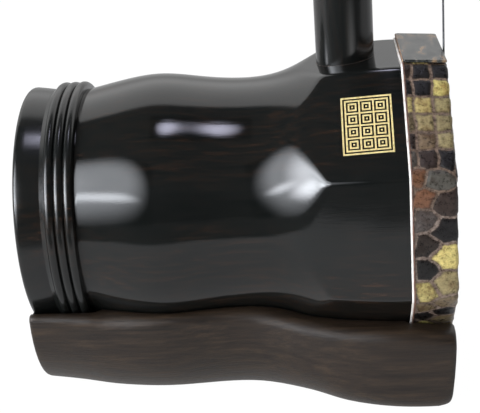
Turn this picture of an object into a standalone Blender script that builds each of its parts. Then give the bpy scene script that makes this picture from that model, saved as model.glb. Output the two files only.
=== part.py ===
"""Erhu: a two-stringed fiddle whose soundbox is octagonal at the skin and round at the back.

The frame: +X points the way the skin faces, +Z runs up the neck, and the origin is the
middle of the base's flat underside. All lengths below are millimetres.
"""
import math

import bmesh
import bpy
from mathutils import Matrix, Vector

MM = 0.001
GAP = 0.3                    # clearance between pieces that touch on the real object

# Soundbox: where its axis and its two ends lie
AXIS_Z = 58.0                # height of the soundbox's axis over the base's underside
SKIN_X = 65.0                # front face of the skin
BOX_LENGTH = 130.0           # skin face to rear rim
REAR_X = SKIN_X - BOX_LENGTH
WALL = 5.0                   # thickness of the staves
SIDES = 8

# Apothem of the wooden body against distance behind the skin face
BODY_STATIONS = [(0.9, 43.0), (1.8, 43.4), (13.4, 44.7), (29.0, 43.9), (40.0, 42.5), (50.0, 39.6),
                 (62.0, 38.2), (75.0, 39.35), (88.4, 40.9), (100.0, 39.6), (111.3, 37.25)]
ARRIS_RADIUS = 3.0           # rounding of the eight arrises near the skin
FLAT_FROM = 30.0             # the facets are flat up to here, behind the skin face
ROUND_FROM = 60.0            # and the body is fully round from here on

# Rear collar: three beads and a plain rim
COLLAR_FRONT = 111.6         # behind the skin face
BEAD_PITCH = 2.95
BEAD_FIRST = 113.2
BEADS = 3
BEAD_RADIUS = 1.5
BEAD_ROOT = 38.2
RIM_RADIUS = 38.6
COLLAR_BORE = 33.5
WINDOW_DEPTH = 4.0           # the lattice sits this far inside the rear rim
WINDOW_THICKNESS = 3.0

# Skin, its white edging and the plate that guards the top
SKIN_BAND = 12.7
SKIN_THICKNESS = 0.6
SKIN_APOTHEM_REAR = 45.6
SKIN_APOTHEM_FRONT = 44.7
SKIN_EDGE_RADIUS = 0.8
EDGING_WIDTH = 0.6
EDGING_THICKNESS = 0.4
GUARD_SIZE = (12.9, 36.0, 0.7)
GUARD_TILT = math.atan2(SKIN_APOTHEM_REAR - SKIN_APOTHEM_FRONT, SKIN_BAND)

# Seal inlay on the facet between the top and the near side
SEAL_SIZE = (14.8, 18.6, 0.5)
SEAL_CENTRE = 24.4           # behind the skin face
SEAL_POCKET = 0.9

# Neck
NECK_X = SKIN_X - 29.5
NECK_RADIUS = 8.9
NECK_FOOT = -50.5            # the neck's lower end, from the soundbox axis
# Height over the soundbox axis, half width along X and along Y, corner radius
NECK_STATIONS = [(NECK_FOOT, 8.9, 8.9, 8.8), (100.0, 8.9, 8.9, 8.8), (250.0, 8.5, 8.5, 8.4),
                 (400.0, 8.1, 8.1, 8.0), (500.0, 8.1, 8.1, 7.9), (518.0, 8.8, 9.2, 5.5),
                 (630.0, 8.8, 9.2, 5.5), (652.0, 8.6, 9.0, 5.0)]
HEAD_BEND_RADIUS = 50.0
HEAD_BEND = math.radians(82.0)
HEAD_TIP_HALF = (5.2, 7.6, 3.0)
HEAD_CAP_THICKNESS = 2.0

# Tuning pegs
PEG_HEIGHTS = {"upper": 610.0, "lower": 532.0}     # over the soundbox axis
PEG_SHIFT = {"upper": 0.0, "lower": -6.0}          # the taper seats the lower peg less deep
PEG_TIP = 1.5                                      # behind the skin face, upper peg
PEG_SHAFT = 42.0
PEG_HANDLE = 90.0
PEG_TIP_RADIUS = 3.6
PEG_ROOT_RADIUS = 4.8
WINDING_OFFSET = 3.0                               # from the peg's tip to its winding
WINDING_LENGTH = 5.0

# Strings, the thread loop that stops them, and the hook that holds them
STRING_RADIUS = {"inner": 0.25, "outer": 0.14}
STRING_FRONT = 0.65          # strings stand this far in front of the skin face
STRING_AT_LOOP = 0.9
STRING_SPREAD = {"inner": -1.3, "outer": 1.3}      # Y of each string over the skin
STRING_SPREAD_LOOP = {"inner": -0.7, "outer": 0.7}
LOOP_HEIGHT = 385.0
LOOP_BAND = 8.0
LOOP_THICKNESS = 0.9
LOOP_NOSE = 1.9
LOOP_NOSE_BACK = 0.75         # from the strings back to the middle of the loop's nose
HOOK_THICKNESS = 1.1
HOOK_WIDTH = 9.0
HOOK_EYE = 13.0
HOOK_LEVEL = -47.6           # underside of the hook strap, from the soundbox axis

# Base: distance behind the skin face, half width, top and bottom from the axis, corner radius
BASE_STATIONS = [(0.3, 40.2, -32.8, -56.8, 10.0), (4.0, 41.5, -31.9, -58.0, 8.4),
                 (20.0, 41.8, -30.4, -58.0, 8.6), (33.0, 40.2, -29.9, -58.0, 11.4),
                 (45.0, 37.5, -28.5, -58.0, 18.6),
                 (58.0, 34.2, -26.0, -58.0, 22.4), (68.0, 33.8, -25.4, -58.0, 23.8),
                 (90.0, 36.6, -25.0, -58.0, 25.4), (106.0, 36.1, -24.3, -58.0, 27.6),
                 (119.0, 35.3, -23.9, -57.2, 30.4), (130.2, 34.9, -23.5, -55.6, 30.2)]
SCREW_RADIUS = 2.4
SCREW_HEAD_RADIUS = 5.0
SCREW_HEAD_DEPTH = 3.0
SCREW_TOP = -36.0


# ---------------------------------------------------------------- helpers

def clear_scene():
    for obj in list(bpy.data.objects):
        bpy.data.objects.remove(obj, do_unlink=True)


def new_collection(name):
    group = bpy.data.collections.new(name)
    bpy.context.scene.collection.children.link(group)
    return group


def new_material(name, colour, roughness, metallic=0.0):
    made = bpy.data.materials.new(name)
    made.use_nodes = True
    shader = made.node_tree.nodes["Principled BSDF"]
    shader.inputs["Base Color"].default_value = (*colour, 1.0)
    shader.inputs["Roughness"].default_value = roughness
    shader.inputs["Metallic"].default_value = metallic
    made.diffuse_color = (*colour, 1.0)
    return made


def place(name, mesh, surface, cutter=False):
    """Make an object of a mesh, as a part or as a hidden cutter."""
    obj = bpy.data.objects.new(name, mesh)
    (CUTTERS if cutter else PARTS).objects.link(obj)
    if surface is not None:
        mesh.materials.append(surface)
    if cutter:
        obj.hide_render = True
        obj.display_type = "WIRE"
    return obj


def smooth(mesh, degrees=35.0):
    mesh.shade_smooth()
    mesh.set_sharp_from_angle(angle=math.radians(degrees))


def hermite(stations, x):
    """Values at x on a smooth curve through rows of (x, value, value, ...)."""
    last = len(stations) - 1
    i = 0
    while i < last - 1 and x > stations[i + 1][0]:
        i += 1
    x0, x1 = stations[i][0], stations[i + 1][0]
    t = min(max((x - x0) / (x1 - x0), 0.0), 1.0)
    values = []
    for k in range(1, len(stations[0])):
        slopes = []
        for j in (i, i + 1):
            low, high = stations[max(j - 1, 0)], stations[min(j + 1, last)]
            slopes.append((high[k] - low[k]) / (high[0] - low[0]) * (x1 - x0))
        a, b = stations[i][k], stations[i + 1][k]
        values.append(a * (2 * t ** 3 - 3 * t ** 2 + 1) + b * (3 * t ** 2 - 2 * t ** 3)
                      + slopes[0] * (t ** 3 - 2 * t ** 2 + t) + slopes[1] * (t ** 3 - t ** 2))
    return values


def spaced(start, end, count):
    return [start + (end - start) * i / (count - 1) for i in range(count)]


def loft(name, rings, surface, closed=False, cutter=False):
    """Join rings of points, in millimetres, into one solid; closed makes it run round to its start."""
    bm = bmesh.new()
    rows = [[bm.verts.new(Vector(point) * MM) for point in ring] for ring in rings]
    count = len(rows[0])
    pairs = list(zip(rows, rows[1:])) + ([(rows[-1], rows[0])] if closed else [])
    for low, high in pairs:
        for i in range(count):
            j = (i + 1) % count
            bm.faces.new((low[i], low[j], high[j], high[i]))
    if not closed:
        bm.faces.new(list(reversed(rows[0])))
        bm.faces.new(rows[-1])
    bmesh.ops.recalc_face_normals(bm, faces=bm.faces)
    mesh = bpy.data.meshes.new(name)
    bm.to_mesh(mesh)
    bm.free()
    smooth(mesh)
    return place(name, mesh, surface, cutter)


def turned(name, profile, surface, centre, steps, closed=False, cutter=False, along_x=True):
    """Turn a profile of (radius, height) about its own Z axis, then lay that axis along +X."""
    mesh = bpy.data.meshes.new(name)
    edges = [(i, i + 1) for i in range(len(profile) - 1)]
    if closed:
        edges.append((len(profile) - 1, 0))
    mesh.from_pydata([(r * MM, 0.0, h * MM) for r, h in profile], edges, [])
    obj = place(name, mesh, surface, cutter)
    screw = obj.modifiers.new("turn", "SCREW")
    screw.axis = "Z"
    screw.steps = steps
    screw.render_steps = steps
    screw.use_merge_vertices = True
    screw.merge_threshold = 0.000001
    screw.use_smooth_shade = True
    obj.location = Vector(centre) * MM
    if along_x:
        obj.rotation_euler = (0.0, math.radians(90.0), 0.0)
    return obj


def block(name, size, surface, centre, rotation=(0.0, 0.0, 0.0), bevel=0.0, cutter=False):
    bm = bmesh.new()
    bmesh.ops.create_cube(bm, size=1.0, matrix=Matrix.Diagonal((*[s * MM for s in size], 1.0)))
    if bevel:
        bmesh.ops.bevel(bm, geom=list(bm.edges), offset=bevel * MM, segments=2, affect="EDGES", profile=0.5)
    mesh = bpy.data.meshes.new(name)
    bm.to_mesh(mesh)
    bm.free()
    obj = place(name, mesh, surface, cutter)
    obj.location = Vector(centre) * MM
    obj.rotation_euler = rotation
    return obj


def rod(name, radius, start, end, surface, segments=24, end_radius=None, cutter=False):
    """A straight round rod or a taper between two points."""
    a, b = Vector(start) * MM, Vector(end) * MM
    bm = bmesh.new()
    bmesh.ops.create_cone(bm, cap_ends=True, segments=segments, radius1=radius * MM,
                          radius2=(radius if end_radius is None else end_radius) * MM, depth=(b - a).length)
    mesh = bpy.data.meshes.new(name)
    bm.to_mesh(mesh)
    bm.free()
    smooth(mesh)
    obj = place(name, mesh, surface, cutter)
    obj.location = (a + b) / 2
    obj.rotation_euler = (b - a).to_track_quat("Z", "Y").to_euler()
    return obj


def combine(obj, other, operation="DIFFERENCE"):
    change = obj.modifiers.new(other.name, "BOOLEAN")
    change.operation = operation
    change.solver = "EXACT"
    change.object = other
    return obj


# ---------------------------------------------------------------- sections

def octagon(apothem, radius, steps):
    """Octagon with flats up and down and rounded corners, as (y, z) points about the axis."""
    points = []
    reach = (apothem - radius) / math.cos(math.pi / SIDES)
    for k in range(SIDES):
        middle = (k + 0.5) * 2 * math.pi / SIDES
        for i in range(steps + 1):
            angle = middle + (i / steps - 0.5) * 2 * math.pi / SIDES
            points.append((reach * math.cos(middle) + radius * math.cos(angle),
                           reach * math.sin(middle) + radius * math.sin(angle)))
    return points


def body_form(behind):
    """Apothem and corner radius of the wooden body at a distance behind the skin face."""
    apothem = hermite(BODY_STATIONS, behind)[0]
    t = min(max((behind - FLAT_FROM) / (ROUND_FROM - FLAT_FROM), 0.0), 1.0)
    share = t * t * (3.0 - 2.0 * t)
    return apothem, ARRIS_RADIUS + (apothem - 0.4 - ARRIS_RADIUS) * share


def body_ring(behind, offset=0.0, steps=4):
    apothem, radius = body_form(behind)
    return [(SKIN_X - behind, y, AXIS_Z + z) for y, z in octagon(apothem + offset, radius + offset, steps)]


def octagon_ring(behind, apothem, radius, steps=3):
    return [(SKIN_X - behind, y, AXIS_Z + z) for y, z in octagon(apothem, radius, steps)]


def rounded_rectangle(half_u, half_v, radius, steps):
    points = []
    for k, (su, sv) in enumerate(((1, 1), (-1, 1), (-1, -1), (1, -1))):
        for i in range(steps + 1):
            angle = (k + i / steps) * math.pi / 2
            points.append((su * (half_u - radius) + radius * math.cos(angle),
                           sv * (half_v - radius) + radius * math.sin(angle)))
    return points


# ---------------------------------------------------------------- soundbox

def stave_ring(behind, facet):
    """Cross-section of one stave: its outside, then its inside, mitred to the next staves."""
    apothem, radius = body_form(behind)
    half = math.pi / SIDES
    slot = 0.5 * GAP / math.cos(half)
    outline = []
    for depth, steps in ((0.0, 2), (WALL, 1)):
        a, r = apothem - depth, max(radius - depth, 0.5)
        reach = (a - r) / math.cos(half)
        arc = []
        for i in range(steps + 1):
            angle = half * (1.0 - i / steps)
            along = reach * math.sin(half) + r * math.sin(angle)
            out = reach * math.cos(half) + r * math.cos(angle)
            arc.append((along - (slot if i == 0 else 0.0), out))
        side = arc + [(-along, out) for along, out in reversed(arc)]
        outline += side if depth == 0.0 else list(reversed(side))
    turn = facet * 2 * half
    ring = []
    for along, out in outline:
        y = out * math.cos(turn) - along * math.sin(turn)
        z = out * math.sin(turn) + along * math.cos(turn)
        ring.append((SKIN_X - behind, y, AXIS_Z + z))
    return ring


def make_staves(wood):
    names = ("far", "top_far", "top", "top_near", "near", "bottom_near", "bottom", "bottom_far")
    first = SKIN_THICKNESS + GAP
    behinds = [first, 1.8, 7.0, 13.4] + spaced(21.0, COLLAR_FRONT - GAP, 19)
    staves = {}
    for facet, name in enumerate(names):
        rings = [stave_ring(behind, facet) for behind in behinds]
        staves[name] = loft("stave_" + name, rings, wood)
    reach = SKIN_APOTHEM_REAR + 20.0
    hole = rod("cut_neck_hole", NECK_RADIUS + GAP, (NECK_X, 0, AXIS_Z - reach), (NECK_X, 0, AXIS_Z + reach),
               None, 32, cutter=True)
    combine(staves["top"], hole)
    combine(staves["bottom"], hole)
    return staves


def make_collar(wood):
    """The turned ring at the back: profile from its inner front corner, round the outside."""
    front, rear = -COLLAR_FRONT, -BOX_LENGTH
    outer = [(36.9, front)]
    for bead in range(BEADS):
        middle = -(BEAD_FIRST + bead * BEAD_PITCH)
        for i in range(5):
            angle = math.pi * (0.08 + 0.84 * i / 4)
            outer.append((BEAD_ROOT + BEAD_RADIUS * math.sin(angle), middle + BEAD_RADIUS * math.cos(angle)))
    outer += [(37.6, -122.0), (RIM_RADIUS - 0.1, -128.0), (RIM_RADIUS, -129.2), (RIM_RADIUS - 0.5, rear)]
    inner = [(COLLAR_BORE + 0.5, rear), (COLLAR_BORE, rear + 0.5), (COLLAR_BORE, -126.0),
             (COLLAR_BORE - 1.5, -126.0), (COLLAR_BORE - 1.5, front)]
    profile = [(r, x + SKIN_X) for r, x in outer + inner]
    return turned("rear_collar", profile, wood, (0, 0, AXIS_Z), 56, closed=True)


def make_window(wood):
    """The lattice in the rear opening: a disc pierced by a ring of petals round a central hole."""
    centre_x = REAR_X + WINDOW_DEPTH - WINDOW_THICKNESS / 2
    radius = COLLAR_BORE - GAP
    disc = rod("sound_window", radius, (centre_x - WINDOW_THICKNESS / 2, 0, AXIS_Z),
               (centre_x + WINDOW_THICKNESS / 2, 0, AXIS_Z), wood, 48)
    reach = WINDOW_THICKNESS
    bm = bmesh.new()
    holes = [(0.0, 0.0, 5.6, 5.6)]
    for k in range(SIDES):
        turn = (k + 0.5) * 2 * math.pi / SIDES
        holes.append((16.5, turn, 6.6, 4.3))
        holes.append((25.6, turn + math.pi / SIDES, 3.6, 5.4))
    for distance, turn, long_half, wide_half in holes:
        shape = (Matrix.Rotation(turn, 4, "X") @ Matrix.Translation((0.0, distance * MM, 0.0))
                 @ Matrix.Rotation(math.pi / 2, 4, "Y")
                 @ Matrix.Diagonal((wide_half, long_half, 1.0, 1.0)))
        bmesh.ops.create_cone(bm, cap_ends=True, segments=16, radius1=MM, radius2=MM,
                              depth=2 * reach * MM, matrix=shape)
    mesh = bpy.data.meshes.new("cut_window")
    bm.to_mesh(mesh)
    bm.free()
    cutter = place("cut_window", mesh, None, cutter=True)
    cutter.location = Vector((centre_x, 0, AXIS_Z)) * MM
    combine(disc, cutter)
    return disc


def make_skin(scales):
    """Python skin: the stretched face and the band glued round the front of the staves."""
    t = SKIN_THICKNESS
    rear, front = SKIN_APOTHEM_REAR, SKIN_APOTHEM_FRONT
    rings = [octagon_ring(t, front - 2.0 * t, 2.4),
             octagon_ring(1.4, front - t, 3.0),
             octagon_ring(SKIN_BAND, rear - t, 3.0),
             octagon_ring(SKIN_BAND, rear, 3.6),
             octagon_ring(1.4, front, 3.6),
             octagon_ring(0.3, front - 0.2, 3.4),
             octagon_ring(0.0, front - SKIN_EDGE_RADIUS, 2.8)]
    return loft("python_skin", rings, scales)


def make_edging(white):
    """The fine white line where the skin ends."""
    start = SKIN_BAND + GAP
    low = body_form(start)[0] + GAP
    rings = [octagon_ring(start, low, 3.2), octagon_ring(start, low + EDGING_THICKNESS, 3.6),
             octagon_ring(start + EDGING_WIDTH, low + EDGING_THICKNESS, 3.6),
             octagon_ring(start + EDGING_WIDTH, low, 3.2)]
    return loft("skin_edging", rings, white, closed=True)


def make_guard(horn):
    """The thin plate on top, over the skin band, that the bow rests and rubs on."""
    middle = SKIN_BAND / 2 + 0.1
    level = (SKIN_APOTHEM_REAR + SKIN_APOTHEM_FRONT) / 2 + GAP + GUARD_SIZE[2] / 2 + 0.05
    return block("bow_guard", GUARD_SIZE, horn, (SKIN_X - middle, 0, AXIS_Z + level),
                 (0.0, GUARD_TILT, 0.0), bevel=0.2)


def make_seal(gold, staves):
    """A gold panel let into the facet between the top and the near side."""
    apothem = body_form(SEAL_CENTRE)[0]
    slope = math.atan2(body_form(SEAL_CENTRE - 7)[0] - body_form(SEAL_CENTRE + 7)[0], 14.0)
    turn = Matrix.Rotation(math.radians(45.0), 4, "X") @ Matrix.Rotation(-slope, 4, "Y")
    out = turn @ Vector((0.0, 0.0, 1.0))
    foot = Vector((SKIN_X - SEAL_CENTRE, -apothem * math.sin(math.pi / 4),
                   AXIS_Z + apothem * math.cos(math.pi / 4)))
    angles = turn.to_euler()
    panel = block("seal_inlay", SEAL_SIZE, gold, foot - out * (SEAL_SIZE[2] / 2 - 0.05), angles)
    pocket = (SEAL_SIZE[0] + 2 * GAP, SEAL_SIZE[1] + 2 * GAP, 2 * SEAL_POCKET)
    combine(staves["top_near"], block("cut_seal", pocket, None, foot, angles, cutter=True))
    return panel


# ---------------------------------------------------------------- neck and pegs

def head_frame(t):
    """Centre, outward direction and tangent of the curved head, t from 0 at its root to 1."""
    bend = HEAD_BEND * t
    root_z = AXIS_Z + NECK_STATIONS[-1][0]
    centre = Vector((NECK_X - HEAD_BEND_RADIUS * (1.0 - math.cos(bend)), 0.0,
                     root_z + HEAD_BEND_RADIUS * math.sin(bend)))
    outward = Vector((math.cos(bend), 0.0, math.sin(bend)))
    return centre, outward, Vector((-math.sin(bend), 0.0, math.cos(bend)))


def head_ring(t, shift=0.0, shrink=0.0):
    root = NECK_STATIONS[-1][1:]
    half_u, half_v, radius = [a + (b - a) * t for a, b in zip(root, HEAD_TIP_HALF)]
    centre, outward, tangent = head_frame(t)
    centre = centre + tangent * shift
    return [tuple(centre + outward * u + Vector((0.0, v, 0.0)))
            for u, v in rounded_rectangle(half_u - shrink, half_v - shrink, radius - shrink, 5)]


def make_neck(wood, bone):
    rings = []
    heights = [NECK_FOOT, 46.0] + spaced(100.0, 400.0, 5) + [450.0] + spaced(500.0, 518.0, 4)
    for z in heights + [560.0, 630.0, 652.0]:
        half_x, half_y, radius = hermite(NECK_STATIONS, z)
        rings.append([(NECK_X + u, v, AXIS_Z + z) for u, v in rounded_rectangle(half_x, half_y, radius, 5)])
    for i in range(1, 11):
        rings.append(head_ring(i / 10))
    neck = loft("neck", rings, wood)
    for name, height in PEG_HEIGHTS.items():
        shift = PEG_SHIFT[name]
        near, far = peg_radius(NECK_X - 14, shift), peg_radius(NECK_X + 14, shift)
        combine(neck, rod("cut_peg_" + name, near + GAP, (NECK_X - 14, 0, AXIS_Z + height),
                          (NECK_X + 14, 0, AXIS_Z + height), None, 28, far + GAP, cutter=True))
    combine(neck, rod("cut_screw_pilot", SCREW_RADIUS + GAP, (NECK_X, 0, AXIS_Z - 60),
                      (NECK_X, 0, AXIS_Z + SCREW_TOP + 1.0), None, 16, cutter=True))
    cap = loft("head_cap", [head_ring(1.0, GAP), head_ring(1.0, GAP + HEAD_CAP_THICKNESS - 0.6),
                            head_ring(1.0, GAP + HEAD_CAP_THICKNESS, 0.6)], bone)
    return neck, cap


def peg_radius(x, shift):
    """Radius of a peg's tapered shaft at x."""
    t = (SKIN_X - PEG_TIP + shift - x) / PEG_SHAFT
    return PEG_TIP_RADIUS + (PEG_ROOT_RADIUS - PEG_TIP_RADIUS) * t


def make_peg(which, wood, bone, steel):
    """Peg, its bone button and the string wound on it; the peg's origin is on its turning axis."""
    height, shift = AXIS_Z + PEG_HEIGHTS[which], PEG_SHIFT[which]
    centre = (SKIN_X - PEG_TIP + shift, 0, height)
    shaft, end = -PEG_SHAFT, -(PEG_SHAFT + PEG_HANDLE)
    profile = [(0.0, 0.0), (PEG_TIP_RADIUS - 0.5, 0.0), (PEG_TIP_RADIUS, -0.6), (PEG_ROOT_RADIUS, shaft),
               (6.4, shaft - 0.6), (7.2, shaft - 2.5), (6.4, shaft - 4.4), (6.0, shaft - 5.5),
               (6.6, shaft - 14.0), (8.0, shaft - 32.0), (9.8, shaft - 52.0), (11.2, shaft - 68.0), (12.0, shaft - 79.0),
               (11.9, shaft - 83.0), (10.6, end + 3.4), (8.2, end + 1.4), (5.0, end + 0.5), (0.0, end + 0.5)]
    peg = turned("peg_" + which, profile, wood, centre, 28)
    button = turned("peg_button_" + which, [(0.0, end + 0.5 - GAP), (4.2, end + 0.5 - GAP), (3.6, end - 0.9),
                                            (2.0, end - 1.7), (0.0, end - 2.0)], bone, centre, 20)
    string = {"upper": "inner", "lower": "outer"}[which]
    wire = STRING_RADIUS[string]
    low = peg_radius(centre[0] - WINDING_OFFSET - WINDING_LENGTH, shift) + GAP
    high = low + 2 * wire
    winding = turned(string + "_winding", [(high, -WINDING_OFFSET), (high, -WINDING_OFFSET - WINDING_LENGTH),
                                           (low, -WINDING_OFFSET - WINDING_LENGTH), (low, -WINDING_OFFSET)],
                     steel, centre, 24, closed=True)
    return peg, button, winding


# ---------------------------------------------------------------- strings

def string_route(which):
    """The points of a string from the hook, over the skin's top edge and the loop, to its peg."""
    peg = {"inner": "upper", "outer": "lower"}[which]
    side = -1.0 if which == "inner" else 1.0
    wire = STRING_RADIUS[which]
    peg_x = SKIN_X - PEG_TIP + PEG_SHIFT[peg] - WINDING_OFFSET - WINDING_LENGTH / 2
    reach = peg_radius(peg_x - WINDING_LENGTH / 2, PEG_SHIFT[peg]) + GAP + 3 * wire + GAP
    low, loop = STRING_SPREAD[which], STRING_SPREAD_LOOP[which]
    return [(SKIN_X + STRING_FRONT, low, AXIS_Z - 43.6),
            (SKIN_X + STRING_FRONT, low, AXIS_Z + 44.5),
            (SKIN_X + STRING_AT_LOOP, loop, AXIS_Z + LOOP_HEIGHT),
            (peg_x, side * reach, AXIS_Z + PEG_HEIGHTS[peg] + 2.0)]


def make_string(which, steel):
    curve = bpy.data.curves.new(which + "_string", "CURVE")
    curve.dimensions = "3D"
    spline = curve.splines.new("POLY")
    route = string_route(which)
    spline.points.add(len(route) - 1)
    for point, place_at in zip(spline.points, route):
        point.co = (*[c * MM for c in place_at], 1.0)
    curve.bevel_depth = STRING_RADIUS[which] * MM
    curve.bevel_resolution = 2
    curve.use_fill_caps = True
    curve.materials.append(steel)
    obj = bpy.data.objects.new(which + "_string", curve)
    PARTS.objects.link(obj)
    return obj


def make_loop(thread):
    """The thread loop that ties both strings to the neck: a belt round the neck and the strings."""
    big = hermite(NECK_STATIONS, LOOP_HEIGHT)[0] + GAP + LOOP_THICKNESS / 2
    nose_x = SKIN_X + STRING_AT_LOOP - LOOP_NOSE_BACK
    lean = math.asin((big - LOOP_NOSE) / (nose_x - NECK_X))
    outline = []
    for i in range(17):
        angle = math.pi / 2 - lean + i / 16 * (math.pi + 2 * lean)
        outline.append((NECK_X + big * math.cos(angle), big * math.sin(angle)))
    for i in range(9):
        angle = -(math.pi / 2 - lean) + i / 8 * (math.pi - 2 * lean)
        outline.append((nose_x + LOOP_NOSE * math.cos(angle), LOOP_NOSE * math.sin(angle)))
    half = LOOP_THICKNESS / 2
    rings = []
    count = len(outline)
    for out, up in ((half, -1), (half, 1), (-half, 1), (-half, -1)):
        ring = []
        for i, (x, y) in enumerate(outline):
            (xa, ya), (xb, yb) = outline[i - 1], outline[(i + 1) % count]
            along = Vector((xb - xa, yb - ya)).normalized()
            ring.append((x + along.y * out, y - along.x * out, AXIS_Z + LOOP_HEIGHT + up * LOOP_BAND / 2))
        rings.append(ring)
    return loft("qianjin", rings, thread, closed=True)


def make_hook(brass):
    """Brass strap under the soundbox: an eye round the neck's foot and an upturned front lip."""
    level = AXIS_Z + HOOK_LEVEL + HOOK_THICKNESS / 2
    eye = rod("tail_hook", HOOK_EYE, (NECK_X, 0, level - HOOK_THICKNESS / 2),
              (NECK_X, 0, level + HOOK_THICKNESS / 2), brass, 36)
    front = SKIN_X + 0.35
    strap = block("cut_strap", (front + 1.0 - NECK_X, HOOK_WIDTH, HOOK_THICKNESS), None,
                  ((front + 1.0 + NECK_X) / 2, 0, level), cutter=True)
    lip_height = 3.6
    lip = block("cut_lip", (1.0, HOOK_WIDTH, lip_height), None,
                (front + 0.5, 0, level - HOOK_THICKNESS / 2 + lip_height / 2), cutter=True)
    combine(eye, strap, "UNION")
    combine(eye, lip, "UNION")
    combine(eye, rod("cut_eye", NECK_RADIUS + GAP, (NECK_X, 0, level - 5), (NECK_X, 0, level + 5), None, 32,
                     cutter=True))
    return eye


# ---------------------------------------------------------------- base

def base_ring(behind):
    half, top, bottom, corner = hermite(BASE_STATIONS, behind)
    side = []
    for i in range(7):
        angle = i / 6 * math.pi / 2
        side.append((-(half - corner) - corner * math.cos(angle), bottom + corner - corner * math.sin(angle)))
    points = [(-half, top)] + side
    points += [(-y, z) for y, z in reversed(points)]
    return [(SKIN_X - behind, y, AXIS_Z + z) for y, z in points]


def make_base(wood, steel):
    """The carved cradle under the soundbox, its screw and the recesses it needs."""
    stations = [0.3, 1.6, 4.0, 12.0, 20.0, 27.0, 33.0, 39.0, 45.0, 51.0, 58.0, 68.0, 78.0, 90.0, 98.0, 106.0,
                113.0, 119.0, 125.0, 130.2]
    base = loft("base", [base_ring(b) for b in stations], wood)
    clear = GAP + 0.05
    rings = [octagon_ring(-3.0, SKIN_APOTHEM_FRONT + clear, 3.6, 4),
             octagon_ring(SKIN_BAND + 1.0, SKIN_APOTHEM_REAR + clear, 3.6, 4)]
    rings += [body_ring(b, clear, 4) for b in spaced(16.0, 108.0, 16)]
    rings += [octagon_ring(b, 40.0, 39.6, 4) for b in (111.0, 134.0)]
    combine(base, loft("cut_trough", rings, None, cutter=True))
    combine(base, rod("cut_socket", NECK_RADIUS + GAP, (NECK_X, 0, AXIS_Z + NECK_FOOT - GAP),
                      (NECK_X, 0, AXIS_Z), None, 32, cutter=True))
    front = SKIN_X + 3.0
    slot_low = HOOK_LEVEL - GAP
    combine(base, block("cut_strap_slot", (front - NECK_X, HOOK_WIDTH + 2 * GAP, 12.0), None,
                        ((front + NECK_X) / 2, 0, AXIS_Z + slot_low + 6.0), cutter=True))
    combine(base, rod("cut_eye_slot", HOOK_EYE + GAP, (NECK_X, 0, AXIS_Z + slot_low),
                      (NECK_X, 0, AXIS_Z + slot_low + 12.0), None, 36, cutter=True))
    underside = -AXIS_Z
    low = underside + 0.4
    head_top = low + SCREW_HEAD_DEPTH
    screw = turned("base_screw", [(0.0, SCREW_TOP), (SCREW_RADIUS - 0.9, SCREW_TOP),
                                  (SCREW_RADIUS, SCREW_TOP - 2.0), (SCREW_RADIUS, head_top),
                                  (SCREW_HEAD_RADIUS, low), (0.0, low)],
                   steel, (NECK_X, 0, AXIS_Z), 24, along_x=False)
    hole = turned("cut_screw_hole", [(0.0, -30.0), (SCREW_RADIUS + GAP, -30.0),
                                     (SCREW_RADIUS + GAP, head_top + GAP), (SCREW_HEAD_RADIUS + GAP, low),
                                     (SCREW_HEAD_RADIUS + GAP, underside - 2.0), (0.0, underside - 2.0)],
                  None, (NECK_X, 0, AXIS_Z), 24, cutter=True, along_x=False)
    combine(base, hole)
    return base, screw


# ---------------------------------------------------------------- the object

clear_scene()
PARTS = new_collection("erhu")
CUTTERS = new_collection("cutters")

blackwood = new_material("lacquered_blackwood", (0.018, 0.014, 0.013), 0.12)
base_wood = new_material("satin_blackwood", (0.055, 0.042, 0.036), 0.42)
python = new_material("python_skin", (0.30, 0.25, 0.14), 0.4)
white = new_material("white_edging", (0.85, 0.83, 0.78), 0.4)
horn = new_material("dark_horn", (0.05, 0.045, 0.04), 0.3)
gold = new_material("gold_leaf", (0.83, 0.62, 0.24), 0.35, 0.8)
bone = new_material("bone", (0.86, 0.80, 0.66), 0.35)
steel = new_material("string_steel", (0.55, 0.55, 0.54), 0.3, 1.0)
brass = new_material("brass", (0.72, 0.52, 0.22), 0.3, 1.0)
thread = new_material("cotton_thread", (0.35, 0.05, 0.04), 0.85)

staves = make_staves(blackwood)
make_collar(blackwood)
make_window(blackwood)
make_skin(python)
make_edging(white)
make_guard(horn)
make_seal(gold, staves)
make_neck(blackwood, bone)
for side in ("upper", "lower"):
    make_peg(side, blackwood, bone, steel)
for string in ("inner", "outer"):
    make_string(string, steel)
make_loop(thread)
make_hook(brass)
make_base(base_wood, brass)
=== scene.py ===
"""Erhu: the fine surfaces, the materials, the light and the camera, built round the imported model.

Lengths are millimetres unless they say otherwise, in the part's own frame: +X is the way the
skin faces, +Z runs up the neck, and the origin is in the middle of the base's flat underside.
"near" is the -Y side and "far" the +Y side. "Behind" is the distance behind the skin's face.
"""
import math

import bmesh
import bpy
import numpy as np
from mathutils import Matrix, Vector, kdtree, noise


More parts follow.
